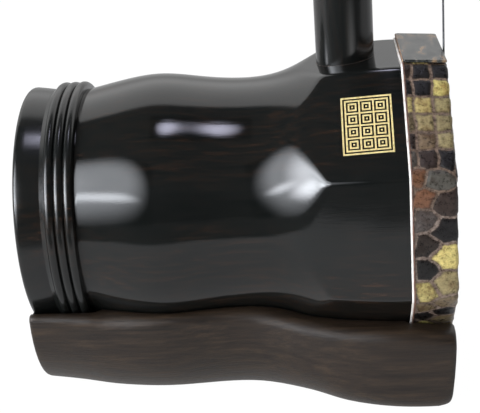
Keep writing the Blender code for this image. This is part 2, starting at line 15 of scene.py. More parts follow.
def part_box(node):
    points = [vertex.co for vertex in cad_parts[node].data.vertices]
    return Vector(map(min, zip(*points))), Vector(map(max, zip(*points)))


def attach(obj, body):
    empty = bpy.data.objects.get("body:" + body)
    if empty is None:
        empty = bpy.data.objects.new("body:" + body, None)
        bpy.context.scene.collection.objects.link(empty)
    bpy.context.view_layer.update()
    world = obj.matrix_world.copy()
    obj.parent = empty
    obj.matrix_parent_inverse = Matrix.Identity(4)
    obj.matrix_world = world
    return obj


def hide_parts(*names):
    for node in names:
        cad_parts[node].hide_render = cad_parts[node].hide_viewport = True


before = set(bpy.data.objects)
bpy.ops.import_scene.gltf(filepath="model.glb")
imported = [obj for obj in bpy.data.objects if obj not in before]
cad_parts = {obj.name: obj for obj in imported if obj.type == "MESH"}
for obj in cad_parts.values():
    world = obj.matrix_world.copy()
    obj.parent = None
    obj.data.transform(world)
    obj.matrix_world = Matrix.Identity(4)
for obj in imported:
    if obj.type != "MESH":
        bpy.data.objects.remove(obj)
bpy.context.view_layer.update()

MM = 0.001
FINE = "_fine"          # a fine material is named for its slot in the record, with this after it
SIDES = 8
HALF_SIDE = math.pi / SIDES
SHARP = 35.0            # degrees between faces from which an edge isn't smoothed


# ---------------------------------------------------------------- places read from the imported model

def low(node):
    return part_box(node)[0] / MM


def high(node):
    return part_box(node)[1] / MM


def middle(node):
    return (low(node) + high(node)) / 2


SKIN_X = high("python_skin").x
REAR_X = low("rear_collar").x
AXIS_Z = middle("sound_window").z
NECK_X = middle("base_screw").x
SKIN_BAND = SKIN_X - low("python_skin").x
BOX_LENGTH = SKIN_X - REAR_X
COLLAR_FRONT = SKIN_X - high("rear_collar").x
LOOP_Z = middle("qianjin").z
LOOP_BAND = high("qianjin").z - low("qianjin").z
PEG_Z = {"upper": middle("peg_upper").z, "lower": middle("peg_lower").z}
PEG_TIP_X = {"upper": high("peg_upper").x, "lower": high("peg_lower").x}

# Wooden body against the distance behind the skin face: it is what an eight-sided cone and a
# turned, waisted form have in common, so each flat ends in a pointed arch
FACET_STATIONS = [(1.0, 43.3), (13.4, 44.7), (29.0, 43.9), (40.0, 42.5), (48.0, 41.3), (54.0, 41.1)]
FACETS_END = 50.0
FACETS_RISE = 0.12
TURNED_STATIONS = [(1.0, 90.0), (25.0, 59.0), (32.0, 50.6), (37.0, 46.3), (40.0, 44.2), (44.0, 41.95),
                   (50.0, 39.6), (62.0, 38.2), (75.0, 39.35), (88.4, 40.9), (100.0, 39.6), (111.3, 37.25)]
ARRIS_SOFTNESS = 0.9
WALL = 5.0
NECK_GAP = 0.15

# Rear collar
BEAD_FIRST = 113.2
BEAD_PITCH = 2.95
BEADS = 3
BEAD_RADIUS = 1.5
BEAD_ROOT = 38.2
RIM_RADIUS = 38.6
RIM_ROUND = 1.4
COLLAR_BORE = 33.5
BORE_ROUND = 0.8

# Skin
SKIN_THICKNESS = 0.6
SKIN_APOTHEM_REAR = 45.6
SKIN_APOTHEM_FRONT = 44.7
SKIN_CORNER = 3.6
SKIN_EDGE = 1.3
SCALE_RELIEF = 0.36
SCALE_SQUASH = 0.84

# Neck: height over the soundbox axis, half width along X and Y, corner radius
NECK_STATIONS = [(-50.5, 8.9, 8.9, 8.85), (100.0, 8.9, 8.9, 8.85), (250.0, 8.5, 8.5, 8.45),
                 (400.0, 8.1, 8.1, 8.05), (500.0, 8.1, 8.1, 8.0), (518.0, 8.8, 9.2, 5.5),
                 (630.0, 8.8, 9.2, 5.5), (652.0, 8.6, 9.0, 5.0)]
NECK_RADIUS = NECK_STATIONS[0][1]
HEAD_BEND_RADIUS = 50.0
HEAD_BEND = math.radians(82.0)
HEAD_TIP_HALF = (5.2, 7.6, 3.0)

# Pegs
PEG_SHAFT = 42.0
PEG_HANDLE = 90.0
PEG_TIP_RADIUS = 3.6
PEG_ROOT_RADIUS = 4.8
PEG_FLUTES = 12
WINDING_OFFSET = 3.0
WINDING_LENGTH = 5.0

# Strings
STRING_RADIUS = {"inner": 0.25, "outer": 0.14}
STRING_SPREAD = {"inner": -1.3, "outer": 1.3}
STRING_SPREAD_LOOP = {"inner": -0.7, "outer": 0.7}
STRING_PEG = {"inner": "upper", "outer": "lower"}
STRING_FRONT = 0.65
STRING_AT_LOOP = 0.9
LOOP_NOSE_BACK = 0.75
LOOP_NOSE = 1.9
LOOP_THICKNESS = 0.9
LOOP_TURNS = 9

# Base: behind, half width, top and bottom from the soundbox axis, corner radius
BASE_STATIONS = [(0.3, 40.8, -32.5, -57.2, 5.6), (4.0, 41.5, -31.9, -58.0, 5.8),
                 (20.0, 41.8, -30.4, -58.0, 7.6), (33.0, 40.2, -29.9, -58.0, 11.4),
                 (45.0, 37.5, -28.5, -58.0, 18.6), (58.0, 34.2, -26.0, -58.0, 22.4),
                 (68.0, 33.8, -25.4, -58.0, 23.8), (90.0, 36.6, -25.0, -58.0, 25.4),
                 (106.0, 36.1, -24.3, -58.0, 27.6), (119.0, 35.3, -23.9, -57.2, 30.4),
                 (130.2, 34.9, -23.5, -55.6, 30.2)]
BASE_CLEAR = 0.2             # between the trough and the soundbox
BASE_ROUND = 4.2             # radius of the rim's outer edge
BASE_LEAN = 2.0              # how far the front leans back at its foot

# Seal: a pattern of square cells, as wide as its lines
SEAL_CENTRE = 24.4
SEAL_STROKE = 0.51
SEAL_CELLS = (29, 37)
SEAL_MODULE = 8
SEAL_TOP = 0.05
SEAL_BOTTOM = -0.5


# ---------------------------------------------------------------- curves and sections

def spaced(start, end, count):
    return [start + (end - start) * i / (count - 1) for i in range(count)]


def ease(start, end, x):
    t = np.clip((x - start) / (end - start), 0.0, 1.0)
    return t * t * t * (10.0 - 15.0 * t + 6.0 * t * t)


def hermite(stations, x):
    """Values at x on a smooth curve through rows of (x, value, value, ...)."""
    last = len(stations) - 1
    i = 0
    while i < last - 1 and x > stations[i + 1][0]:
        i += 1
    x0, x1 = stations[i][0], stations[i + 1][0]
    t = min(max((x - x0) / (x1 - x0), 0.0), 1.0)
    values = []
    for k in range(1, len(stations[0])):
        slopes = []
        for j in (i, i + 1):
            before, after = stations[max(j - 1, 0)], stations[min(j + 1, last)]
            slopes.append((after[k] - before[k]) / (after[0] - before[0]) * (x1 - x0))
        a, b = stations[i][k], stations[i + 1][k]
        values.append(a * (2 * t ** 3 - 3 * t ** 2 + 1) + b * (3 * t ** 2 - 2 * t ** 3)
                      + slopes[0] * (t ** 3 - 2 * t ** 2 + t) + slopes[1] * (t ** 3 - t ** 2))
    return values


def spline(stations):
    """The natural cubic spline through rows of (x, value), as a function of an array of x."""
    x, y = np.array(stations, float).T
    gap = np.diff(x)
    matrix = np.eye(len(x))
    right = np.zeros(len(x))
    for i in range(1, len(x) - 1):
        matrix[i, i - 1:i + 2] = gap[i - 1], 2 * (gap[i - 1] + gap[i]), gap[i]
        right[i] = 6 * ((y[i + 1] - y[i]) / gap[i] - (y[i] - y[i - 1]) / gap[i - 1])
    bend = np.linalg.solve(matrix, right)

    def value(place):
        place = np.clip(place, x[0], x[-1])
        i = np.clip(np.searchsorted(x, place) - 1, 0, len(x) - 2)
        a, b = (x[i + 1] - place) / gap[i], (place - x[i]) / gap[i]
        curve = (a ** 3 - a) * bend[i] + (b ** 3 - b) * bend[i + 1]
        return a * y[i] + b * y[i + 1] + curve * gap[i] ** 2 / 6

    return value


facet_apothem = spline(FACET_STATIONS)
turned_radius = spline(TURNED_STATIONS)


def soft_max(a, b):
    """The larger of two distances, blended where they are close, which rounds the edge between them."""
    near = np.maximum(ARRIS_SOFTNESS - np.abs(a - b), 0.0)
    return np.maximum(a, b) + near * near / (4 * ARRIS_SOFTNESS)


def body_distance(behind, radius, angle):
    """How far a point is outside the wooden body, from its distance and angle round the axis."""
    turn = np.abs(angle / (2 * HALF_SIDE) - np.round(angle / (2 * HALF_SIDE))) * 2 * HALF_SIDE
    apothem = facet_apothem(behind) + FACETS_RISE * np.maximum(behind - FACETS_END, 0.0)
    flats = soft_max(radius * np.cos(turn), radius * np.cos(2 * HALF_SIDE - turn)) - apothem
    return soft_max(flats, radius - turned_radius(behind))


def body_radius(behind, angle):
    """Distance of the body's surface from its axis."""
    behind, angle = np.broadcast_arrays(np.asarray(behind, float), np.asarray(angle, float))
    radius = np.full(behind.shape, 40.0)
    for _ in range(8):
        radius = radius - body_distance(behind, radius, angle)
    return radius


def body_normals(points):
    """Distance from the body's outside and its true outward direction, at points close to it."""
    def distance(x, y, z):
        return body_distance(SKIN_X - x, np.hypot(y, z - AXIS_Z), np.arctan2(z - AXIS_Z, y))

    step = 0.03
    normals = []
    for axis in range(3):
        shift = np.zeros(3)
        shift[axis] = step
        normals.append(distance(*(points + shift).T) - distance(*(points - shift).T))
    normals = np.stack(normals, axis=1)
    return distance(*points.T), normals / np.linalg.norm(normals, axis=1)[:, None]


def side_point(apothem, radius, share):
    """A point of one side of the rounded octagon, share from -0.5 to 0.5 of its length."""
    flat = (apothem - radius) * math.tan(HALF_SIDE)
    reach = abs(share) * (2 * flat + 2 * HALF_SIDE * radius)
    if reach <= flat:
        return math.copysign(reach, share), apothem
    angle = (reach - flat) / radius
    return math.copysign(flat + radius * math.sin(angle), share), apothem - radius + radius * math.cos(angle)


def on_facet(facet, behind, along, out):
    """A point given by its place on one side of the octagon; side 0 is far, 2 top, 4 near, 6 bottom."""
    turn = facet * 2 * HALF_SIDE
    return (SKIN_X - behind, out * math.cos(turn) - along * math.sin(turn),
            AXIS_Z + out * math.sin(turn) + along * math.cos(turn))


def even_ring(behind, apothem, radius, per_side):
    ring = []
    for facet in range(SIDES):
        for i in range(per_side):
            ring.append(on_facet(facet, behind, *side_point(apothem, radius, i / per_side - 0.5)))
    return ring


def arc(u, v, radius, start, end, count):
    """Points on an arc round (u, v), between two angles given in quarter turns."""
    angles = [turn * math.pi / 2 for turn in spaced(start, end, count)]
    return [(u + radius * math.cos(angle), v + radius * math.sin(angle)) for angle in angles]


def rounded_rectangle(half_u, half_v, radius, steps):
    u, v = half_u - radius, half_v - radius
    points = []
    for k, (su, sv) in enumerate(((1, 1), (-1, 1), (-1, -1), (1, -1))):
        points += arc(su * u, sv * v, radius, k, k + 1, steps + 1)
    return points


# ---------------------------------------------------------------- meshes

def link(name, data):
    """Put a new object that holds the data into the scene."""
    obj = bpy.data.objects.new(name, data)
    bpy.context.scene.collection.objects.link(obj)
    return obj


def mesh_from(bm, sharp=None):
    """The mesh of a bmesh, smooth but for edges sharper than the angle, or flat without one."""
    mesh = bpy.data.meshes.new("mesh")
    bm.to_mesh(mesh)
    bm.free()
    if sharp:
        mesh.shade_smooth()
        mesh.set_sharp_from_angle(angle=math.radians(sharp))
    return mesh


def loft(rings, closed=False, sharp=SHARP):
    """Join rings of points into one closed body; closed makes it run round to its start."""
    count = len(rings[0])
    vertices = [point for ring in rings for point in ring]
    faces = []
    for r in range(len(rings) - (0 if closed else 1)):
        a, b = r * count, (r + 1) % len(rings) * count
        for i in range(count):
            j = (i + 1) % count
            faces.append((a + i, a + j, b + j, b + i))
    if not closed:
        faces.append(tuple(range(count)))
        faces.append(tuple(range(len(vertices) - count, len(vertices))))
    raw = bpy.data.meshes.new("raw")
    raw.from_pydata((np.array(vertices, float) * MM).tolist(), [], faces)
    bm = bmesh.new()
    bm.from_mesh(raw)
    bpy.data.meshes.remove(raw)
    bmesh.ops.recalc_face_normals(bm, faces=bm.faces)
    return mesh_from(bm, sharp)


def revolve(profile, centre, steps, closed=False, flutes=None):
    """Turn a profile of (radius, x) about the X axis through centre."""
    rings = []
    for i in range(steps):
        angle = 2 * math.pi * i / steps
        ring = []
        for radius, x in profile:
            r = radius * (flutes(x, angle) if flutes else 1.0)
            ring.append((centre[0] + x, centre[1] + r * math.cos(angle), centre[2] + r * math.sin(angle)))
        rings.append(ring)
    return loft(rings, closed=True) if closed else loft(list(zip(*rings)))


def box_mesh(size, centre, bevel=0.0, tilt=0.0):
    """A box with rounded edges, tilted about the Y axis."""
    bm = bmesh.new()
    bmesh.ops.create_cube(bm, size=1.0, matrix=Matrix.Diagonal((*[s * MM for s in size], 1.0)))
    if bevel:
        bmesh.ops.bevel(bm, geom=list(bm.edges), offset=bevel * MM, segments=3, affect="EDGES", profile=0.5)
    bm.transform(Matrix.Translation(Vector(centre) * MM) @ Matrix.Rotation(tilt, 4, "Y"))
    return mesh_from(bm, 30.0)


def rod_mesh(radius, start, end, steps=64, end_radius=None):
    a, b = Vector(start) * MM, Vector(end) * MM
    place = Matrix.Translation((a + b) / 2) @ (b - a).to_track_quat("Z", "Y").to_matrix().to_4x4()
    bm = bmesh.new()
    bmesh.ops.create_cone(bm, cap_ends=True, segments=steps, radius1=radius * MM, matrix=place,
                          radius2=(radius if end_radius is None else end_radius) * MM, depth=(b - a).length)
    return mesh_from(bm)


def upright_rod(radius, bottom, top, steps=64, end_radius=None):
    """A rod on the neck's axis, for the holes that go up through the soundbox, neck and base."""
    return rod_mesh(radius, (NECK_X, 0, bottom), (NECK_X, 0, top), steps, end_radius)


def cut(mesh, *cutters):
    """What is left of a mesh when the cutters are taken out of it."""
    obj = link("solid", mesh)
    tools = []
    for cutter in cutters:
        tools.append(link("cutter", cutter))
        change = obj.modifiers.new("cut", "BOOLEAN")
        change.operation = "DIFFERENCE"
        change.solver = "EXACT"
        change.object = tools[-1]
    graph = bpy.context.evaluated_depsgraph_get()
    result = bpy.data.meshes.new_from_object(obj.evaluated_get(graph))
    for item in tools + [obj]:
        bpy.data.objects.remove(item)
    result.shade_smooth()
    result.set_sharp_from_angle(angle=math.radians(SHARP))
    return result


def piece(name, data, material, nodes=(), body="body"):
    """Put a finished mesh or curve into the scene, riding on its body and standing for its nodes."""
    data.name = name
    obj = link(name, data)
    data.materials.clear()
    data.materials.append(material)
    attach(obj, body)
    if nodes:
        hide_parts(*nodes)
    return obj


# ---------------------------------------------------------------- materials

class Nodes:
    """A node tree being put together."""

    def __init__(self, tree):
        self.tree = tree

    def feed(self, socket, value):
        """Give a socket another node's output or a constant; a colour is given as three numbers."""
        if isinstance(value, bpy.types.NodeSocket):
            self.tree.links.new(value, socket)
        else:
            socket.default_value = (*value, 1.0) if socket.type == "RGBA" else value

    def add(self, kind, inputs, **settings):
        node = self.tree.nodes.new("ShaderNode" + kind)
        for key, value in settings.items():
            setattr(node, key, value)
        for key, value in inputs.items():
            self.feed(node.inputs[key], value)
        return node

    def place(self, stretch):
        """Object coordinates, multiplied by a stretch per metre, one for all axes or one for each."""
        if isinstance(stretch, float):
            stretch = (stretch, stretch, stretch)
        source = self.add("TexCoord", {})
        return self.add("Mapping", {"Vector": source.outputs["Object"], "Scale": stretch}).outputs[0]

    def noise(self, stretch, detail=4.0, roughness=0.55, distortion=0.0):
        return self.add("TexNoise", {"Vector": self.place(stretch), "Scale": 1.0, "Detail": detail,
                                     "Roughness": roughness, "Distortion": distortion}).outputs[0]

    def ramp(self, value, stops):
        """Colours or grey levels at places from 0 to 1."""
        node = self.add("ValToRGB", {"Fac": value})
        elements = node.color_ramp.elements
        while len(elements) < len(stops):
            elements.new(0.5)
        for element, (position, colour) in zip(elements, stops):
            element.position = position
            element.color = (*colour, 1.0) if isinstance(colour, tuple) else (colour, colour, colour, 1.0)
        return node.outputs[0]

    def fade(self, value, start, end, first, last):
        """First before start, last past end, and a smooth change between them."""
        return self.add("MapRange", {"Value": value, "From Min": start, "From Max": end, "To Min": first,
                                     "To Max": last}, interpolation_type="SMOOTHSTEP").outputs[0]

    def mix(self, factor, a, b, blend="MIX"):
        return self.add("Mix", {0: factor, 6: a, 7: b}, data_type="RGBA", blend_type=blend).outputs[2]

    def math(self, operation, a, b):
        return self.add("Math", {0: a, 1: b}, operation=operation).outputs[0]

    def plus(self, base, extra, share):
        """The base with a share of the extra added to it."""
        return self.add("Math", {0: extra, 1: share, 2: base}, operation="MULTIPLY_ADD").outputs[0]


class Surface(Nodes):
    """A material with a Principled shader; fixed gives values of the shader's own inputs."""

    def __init__(self, name, **fixed):
        self.material = bpy.data.materials.new(name)
        self.material.use_nodes = True
        super().__init__(self.material.node_tree)
        self.shader = self.tree.nodes["Principled BSDF"]
        for socket, value in fixed.items():
            self.feed(self.shader.inputs[socket.replace("_", " ")], value)

    def finish(self, colour, roughness, height, relief):
        """Feed the shader; relief is how many metres the height stands for."""
        self.feed(self.shader.inputs["Base Color"], colour)
        if roughness is not None:
            self.feed(self.shader.inputs["Roughness"], roughness)
        bump = self.add("Bump", {"Distance": relief, "Height": height})
        self.feed(self.shader.inputs["Normal"], bump.outputs[0])
        return self.material


def lacquered_wood(name, stretch, gloss=(0.06, 0.10)):
    """Black lacquer over dark red wood: streaks along the grain show faintly through it."""
    made = Surface(name, IOR=1.5)
    grain = made.noise(stretch, 7.0, 0.72, 0.3)
    blotch = made.noise(tuple(6.0 + s * 0.035 for s in stretch), 3.0)
    fine = made.noise(tuple(s * 3.0 for s in stretch), 3.0)
    streak = made.ramp(grain, [(0.40, (0.0048, 0.0056, 0.0053)), (0.52, (0.0082, 0.0074, 0.0062)),
                               (0.66, (0.0270, 0.0140, 0.0085))])
    dark = made.ramp(grain, [(0.36, (0.0042, 0.0052, 0.0050)), (0.70, (0.0080, 0.0082, 0.0074))])
    colour = made.mix(made.ramp(blotch, [(0.42, 0.0), (0.64, 1.0)]), dark, streak)
    rough = made.ramp(fine, [(0.3, gloss[0]), (0.75, gloss[1])])
    wave = made.plus(made.plus(made.noise(55.0, 1.0), fine, 0.05), grain, 0.08)
    return made.finish(colour, rough, wave, 0.00010)


def satin_wood(name):
    """Bare oiled rosewood: brown-black, fine pores drawn out along the grain."""
    made = Surface(name, IOR=1.46)
    grain = made.noise((30.0, 760.0, 760.0), 6.0, 0.68, 0.2)
    pores = made.noise((170.0, 2600.0, 2600.0), 3.0, 0.7)
    blotch = made.noise((18.0, 30.0, 30.0), 3.0)
    colour = made.ramp(grain, [(0.34, (0.0080, 0.0050, 0.0032)), (0.50, (0.0200, 0.0124, 0.0068)),
                               (0.68, (0.0440, 0.0260, 0.0134))])
    colour = made.mix(made.ramp(blotch, [(0.35, 0.0), (0.75, 0.45)]), colour, (0.0200, 0.0120, 0.0080))
    colour = made.mix(made.ramp(pores, [(0.30, 0.65), (0.44, 0.0)]), colour, (0.0040, 0.0030, 0.0025))
    rough = made.ramp(grain, [(0.3, 0.36), (0.7, 0.47)])
    return made.finish(colour, rough, made.plus(pores, grain, 0.4), 0.00012)


def scaled_skin(name):
    """Python skin: each scale has its own tone, and paler skin shows in the seams between them; each scale's
    edge next to a seam carries painted shade.
    """
    made = Surface(name, IOR=1.42)
    scale = made.add("Attribute", {}, attribute_name="scale_tone").outputs
    tone, loose = scale["Color"], scale["Alpha"]
    seam = made.add("Attribute", {}, attribute_name="seam_distance").outputs["Fac"]
    mottle = made.noise(900.0, 6.0, 0.72)
    cloud = made.noise(300.0, 4.0, 0.65)
    speck = made.noise(2400.0, 3.0, 0.6)
    shade = made.ramp(mottle, [(0.32, 0.20), (0.45, 0.72), (0.58, 1.0), (0.78, 1.35)])
    colour = made.mix(1.0, tone, shade, "MULTIPLY")
    stain = made.ramp(cloud, [(0.50, 0.0), (0.66, 0.8)])
    colour = made.mix(stain, colour, (0.42, 0.30, 0.24), "MULTIPLY")
    # Each scale darkens towards its seam, over the slope where it rises: painted shade of the raised scale's
    # edge, varied by the cloud noise
    rim_shade = made.math("MULTIPLY", made.ramp(seam, [(0.10, 1.0), (0.95, 0.0)]),
                    made.ramp(cloud, [(0.32, 0.45), (0.62, 1.0)]))
    colour = made.mix(rim_shade, colour, (0.022, 0.014, 0.010))
    pale = made.ramp(mottle, [(0.32, (0.050, 0.034, 0.028)), (0.48, (0.135, 0.098, 0.078)),
                              (0.66, (0.290, 0.230, 0.190))])
    brown = made.ramp(mottle, [(0.35, (0.050, 0.032, 0.024)), (0.52, (0.130, 0.088, 0.062)),
                               (0.68, (0.260, 0.180, 0.130))])
    brightness = made.add("RGBToBW", {"Color": tone}).outputs[0]
    open_seam = made.math("MULTIPLY", loose, made.ramp(brightness, [(0.09, 1.0), (0.20, 0.2)]))
    between = made.mix(open_seam, brown, pale)
    gap = made.ramp(made.plus(seam, speck, -0.42), [(0.07, 1.0), (0.30, 0.0)])
    colour = made.mix(gap, colour, between)
    rough = made.ramp(mottle, [(0.3, 0.20), (0.7, 0.42)])
    return made.finish(colour, rough, made.plus(mottle, speck, 0.5), 0.00014)


def horn_plate(name):
    """Dark translucent horn, streaked brown and scratched by the bow."""
    made = Surface(name, IOR=1.56)
    streak = made.noise((250.0, 70.0, 70.0), 3.0, 0.45, 1.2)
    scratch = made.noise((220.0, 3600.0, 3600.0), 2.0, 0.5, 0.6)
    patch = made.noise((170.0, 110.0, 110.0), 2.0)
    colour = made.ramp(streak, [(0.40, (0.012, 0.014, 0.013)), (0.56, (0.060, 0.060, 0.054)),
                                (0.68, (0.240, 0.150, 0.080))])
    worn = made.math("MULTIPLY", made.ramp(scratch, [(0.64, 0.0), (0.72, 0.6)]),
                     made.ramp(patch, [(0.55, 0.0), (0.66, 1.0)]))
    colour = made.mix(worn, colour, (0.36, 0.33, 0.30))
    rough = made.ramp(patch, [(0.35, 0.14), (0.75, 0.24)])
    return made.finish(colour, rough, scratch, 0.000008)


def wound_thread(name):
    made = Surface(name, Sheen_Weight=0.3, Sheen_Roughness=0.4)
    twist = made.add("TexWave", {"Vector": made.place((1500.0, 1500.0, 3000.0)), "Scale": 0.6,
                                 "Distortion": 2.0, "Detail": 2.0},
                     wave_type="BANDS", bands_direction="DIAGONAL").outputs[1]
    fluff = made.noise(2500.0, 4.0, 0.7)
    # The twist's bands are darker where they sink in, the same bands that make the bump: painted shade in the
    # grooves of the twist
    colour = made.mix(twist, (0.10, 0.012, 0.010), (0.24, 0.030, 0.022))
    rough = made.ramp(fluff, [(0.3, 0.75), (0.7, 0.95)])
    return made.finish(colour, rough, made.math("ADD", twist, fluff), 0.00015)


def speckled(name, grain, colours, rough, relief, **fixed):
    """A plain material: one noise, given as its arguments, makes its colours, gloss and relief."""
    made = Surface(name, **fixed)
    grain = made.noise(*grain)
    return made.finish(made.ramp(grain, colours), rough and made.ramp(grain, rough), grain, relief)


def metal(name, dull, bright, roughness, stretch):
    return speckled(name, (stretch, 5.0, 0.65), [(0.32, dull), (0.62, bright)],
                    [(0.3, roughness + 0.14), (0.7, roughness)], 0.00003, Metallic=1.0)


LACQUER = lacquered_wood("lacquered_blackwood" + FINE, (40.0, 950.0, 950.0))
LACQUER_NECK = lacquered_wood("lacquered_neck", (850.0, 850.0, 42.0), (0.15, 0.21))
LACQUER_COLLAR = lacquered_wood("lacquered_collar", (34.0, 700.0, 700.0), (0.17, 0.24))
BASE_WOOD = satin_wood("satin_blackwood" + FINE)
PYTHON = scaled_skin("python_skin" + FINE)
HORN = horn_plate("dark_horn" + FINE)
THREAD = wound_thread("cotton_thread" + FINE)
STEEL = metal("string_steel" + FINE, (0.09, 0.09, 0.10), (0.24, 0.24, 0.25), 0.34, (900.0, 900.0, 2500.0))
BRASS = metal("brass" + FINE, (0.42, 0.25, 0.08), (0.76, 0.56, 0.24), 0.24, 400.0)
WHITE = speckled("white_edging" + FINE, (260.0, 5.0, 0.7),
                 [(0.30, (0.36, 0.24, 0.19)), (0.42, (0.68, 0.62, 0.56)), (0.62, (0.80, 0.77, 0.74))],
                 None, 0.00008, Roughness=0.4)
GOLD = speckled("gold_leaf" + FINE, (1500.0, 4.0, 0.65),
                [(0.30, (0.46, 0.30, 0.10)), (0.45, (0.76, 0.60, 0.25)), (0.65, (0.86, 0.74, 0.36))],
                [(0.3, 0.52), (0.7, 0.34)], 0.00005, Metallic=0.35, IOR=1.5)
BONE = speckled("bone" + FINE, ((300.0, 300.0, 60.0), 5.0, 0.6),
                [(0.30, (0.52, 0.42, 0.27)), (0.5, (0.74, 0.67, 0.52)), (0.7, (0.80, 0.75, 0.63))],
                [(0.3, 0.42), (0.7, 0.28)], 0.00004, IOR=1.54)
RAW_EDGE = speckled("raw_skin_edge", (700.0, 4.0, 0.7),
                    [(0.35, (0.050, 0.022, 0.014)), (0.6, (0.170, 0.080, 0.050))],
                    None, 0.0001, Roughness=0.6)
SAWN_EDGE = speckled("sawn_edge", (600.0, 4.0, 0.7),
                     [(0.32, (0.12, 0.06, 0.035)), (0.6, (0.36, 0.23, 0.15))], None, 0.0001, Roughness=0.6)
GLUE = speckled("glue_line", (500.0, 4.0, 0.7),
                [(0.42, (0.012, 0.009, 0.008)), (0.66, (0.110, 0.070, 0.050))], None, 0.0001, Roughness=0.45)


# ---------------------------------------------------------------- soundbox

def lay_normals(mesh):
    """Give the outer faces of a stave the whole body's true normals, so lacquer runs over the joints."""
    corners = np.empty(len(mesh.loops), np.int32)
    mesh.loops.foreach_get("vertex_index", corners)
    places = np.empty(len(mesh.vertices) * 3)
    mesh.vertices.foreach_get("co", places)
    points = places.reshape(-1, 3)[corners] / MM
    totals = np.empty(len(mesh.polygons), np.int32)
    mesh.polygons.foreach_get("loop_total", totals)
    facing = np.empty(len(mesh.polygons) * 3)
    mesh.polygons.foreach_get("normal", facing)
    facing = np.repeat(facing.reshape(-1, 3), totals, axis=0)
    distance, normals = body_normals(points)
    outer = (np.abs(distance) < 0.05) & ((facing * normals).sum(axis=1) > 0.7)
    normals[~outer] = 0.0
    mesh.normals_split_custom_set(normals.tolist())


def make_staves():
    names = ("far", "top_far", "top", "top_near", "near", "bottom_near", "bottom", "bottom_far")
    behinds = [1.0, 6.0] + spaced(11.0, COLLAR_FRONT - 0.05, 100)
    reach = SKIN_APOTHEM_REAR + 20.0
    # Angles across a stave from its middle, set closer towards the joints, where the arrises are
    share = np.linspace(1.0, -1.0, 41)
    angles = HALF_SIDE * (0.55 * share + 0.45 * np.sin(share * math.pi / 2))
    for facet, name in enumerate(names):
        rings = []
        for behind in behinds:
            outer = body_radius(behind, angles)
            outline = list(zip(outer, angles)) + list(zip(outer[::-8] - WALL, angles[::-8]))
            rings.append([on_facet(facet, behind, r * math.sin(a), r * math.cos(a)) for r, a in outline])
        mesh = loft(rings)
        if name in ("top", "bottom"):
            mesh = cut(mesh, upright_rod(NECK_RADIUS + NECK_GAP, AXIS_Z - reach, AXIS_Z + reach, 96))
        lay_normals(mesh)
        piece("fine_stave_" + name, mesh, LACQUER, ["stave_" + name])


def make_collar():
    """Turned ring with its beads and plain rim, from profile points of (radius, behind)."""
    outer = [(36.9, COLLAR_FRONT)]
    for bead in range(BEADS):
        outer += arc(BEAD_ROOT, BEAD_FIRST + bead * BEAD_PITCH, BEAD_RADIUS, -0.88, 0.88, 13)
    outer += [(37.6, 122.0), (37.95, 124.0), (38.35, 126.5), (RIM_RADIUS, 128.4)]
    outer += arc(RIM_RADIUS - RIM_ROUND, BOX_LENGTH - RIM_ROUND, RIM_ROUND, 1 / 6, 1, 6)
    inner = arc(COLLAR_BORE + BORE_ROUND, BOX_LENGTH - BORE_ROUND, BORE_ROUND, 1, 2, 7)
    inner += [(COLLAR_BORE, 126.0), (COLLAR_BORE - 1.5, 125.9), (COLLAR_BORE - 1.5, COLLAR_FRONT)]
    profile = [(radius, SKIN_X - behind) for radius, behind in outer + inner]
    mesh = revolve(profile, (0, 0, AXIS_Z), 200, closed=True)
    piece("turned_collar", mesh, LACQUER_COLLAR, ["rear_collar"])


def make_window():
    """Lattice: a round plate pierced by a central hole and two rings of petals, with a raised rim."""
    x_low, x_high = low("sound_window").x, high("sound_window").x
    radius = COLLAR_BORE - 0.15
    profile = [(radius, x_high), (radius, x_low), (radius - 2.4, x_low), (radius - 3.0, x_low + 0.7),
               (0.01, x_low + 0.7), (0.01, x_high)]
    # Distance from the middle, turn, half length along the radius and half width
    holes = [(0.0, 0.0, 5.6, 5.6)]
    for k in range(SIDES):
        turn = (2 * k + 1) * HALF_SIDE
        holes += [(16.5, turn, 6.6, 4.3), (25.6, turn + HALF_SIDE, 3.6, 5.4)]
    centre = Matrix.Translation(Vector(((x_low + x_high) / 2, 0, AXIS_Z)) * MM)
    bm = bmesh.new()
    for distance, turn, half_length, half_width in holes:
        place = (centre @ Matrix.Rotation(turn, 4, "X") @ Matrix.Translation((0.0, distance * MM, 0.0))
                 @ Matrix.Rotation(math.pi / 2, 4, "Y")
                 @ Matrix.Diagonal((half_width, half_length, 1.0, 1.0)))
        bmesh.ops.create_cone(bm, cap_ends=True, segments=48, radius1=MM, radius2=MM, depth=8 * MM,
                              matrix=place)
    mesh = cut(revolve(profile, (0, 0, AXIS_Z), 160), mesh_from(bm))
    bevel = piece("carved_window", mesh, LACQUER, ["sound_window"]).modifiers.new("edges", "BEVEL")
    bevel.width = 0.35 * MM
    bevel.segments = 2
    bevel.limit_method = "ANGLE"
    bevel.angle_limit = math.radians(50.0)


# ---------------------------------------------------------------- skin

TONES = {"black": (0.009, 0.008, 0.008), "umber": (0.030, 0.019, 0.015), "grey": (0.082, 0.070, 0.060),
         "tan": (0.155, 0.070, 0.036), "olive": (0.275, 0.215, 0.100), "dull_olive": (0.160, 0.118, 0.066),
         "yellow": (0.430, 0.345, 0.130), "gold": (0.560, 0.480, 0.160)}
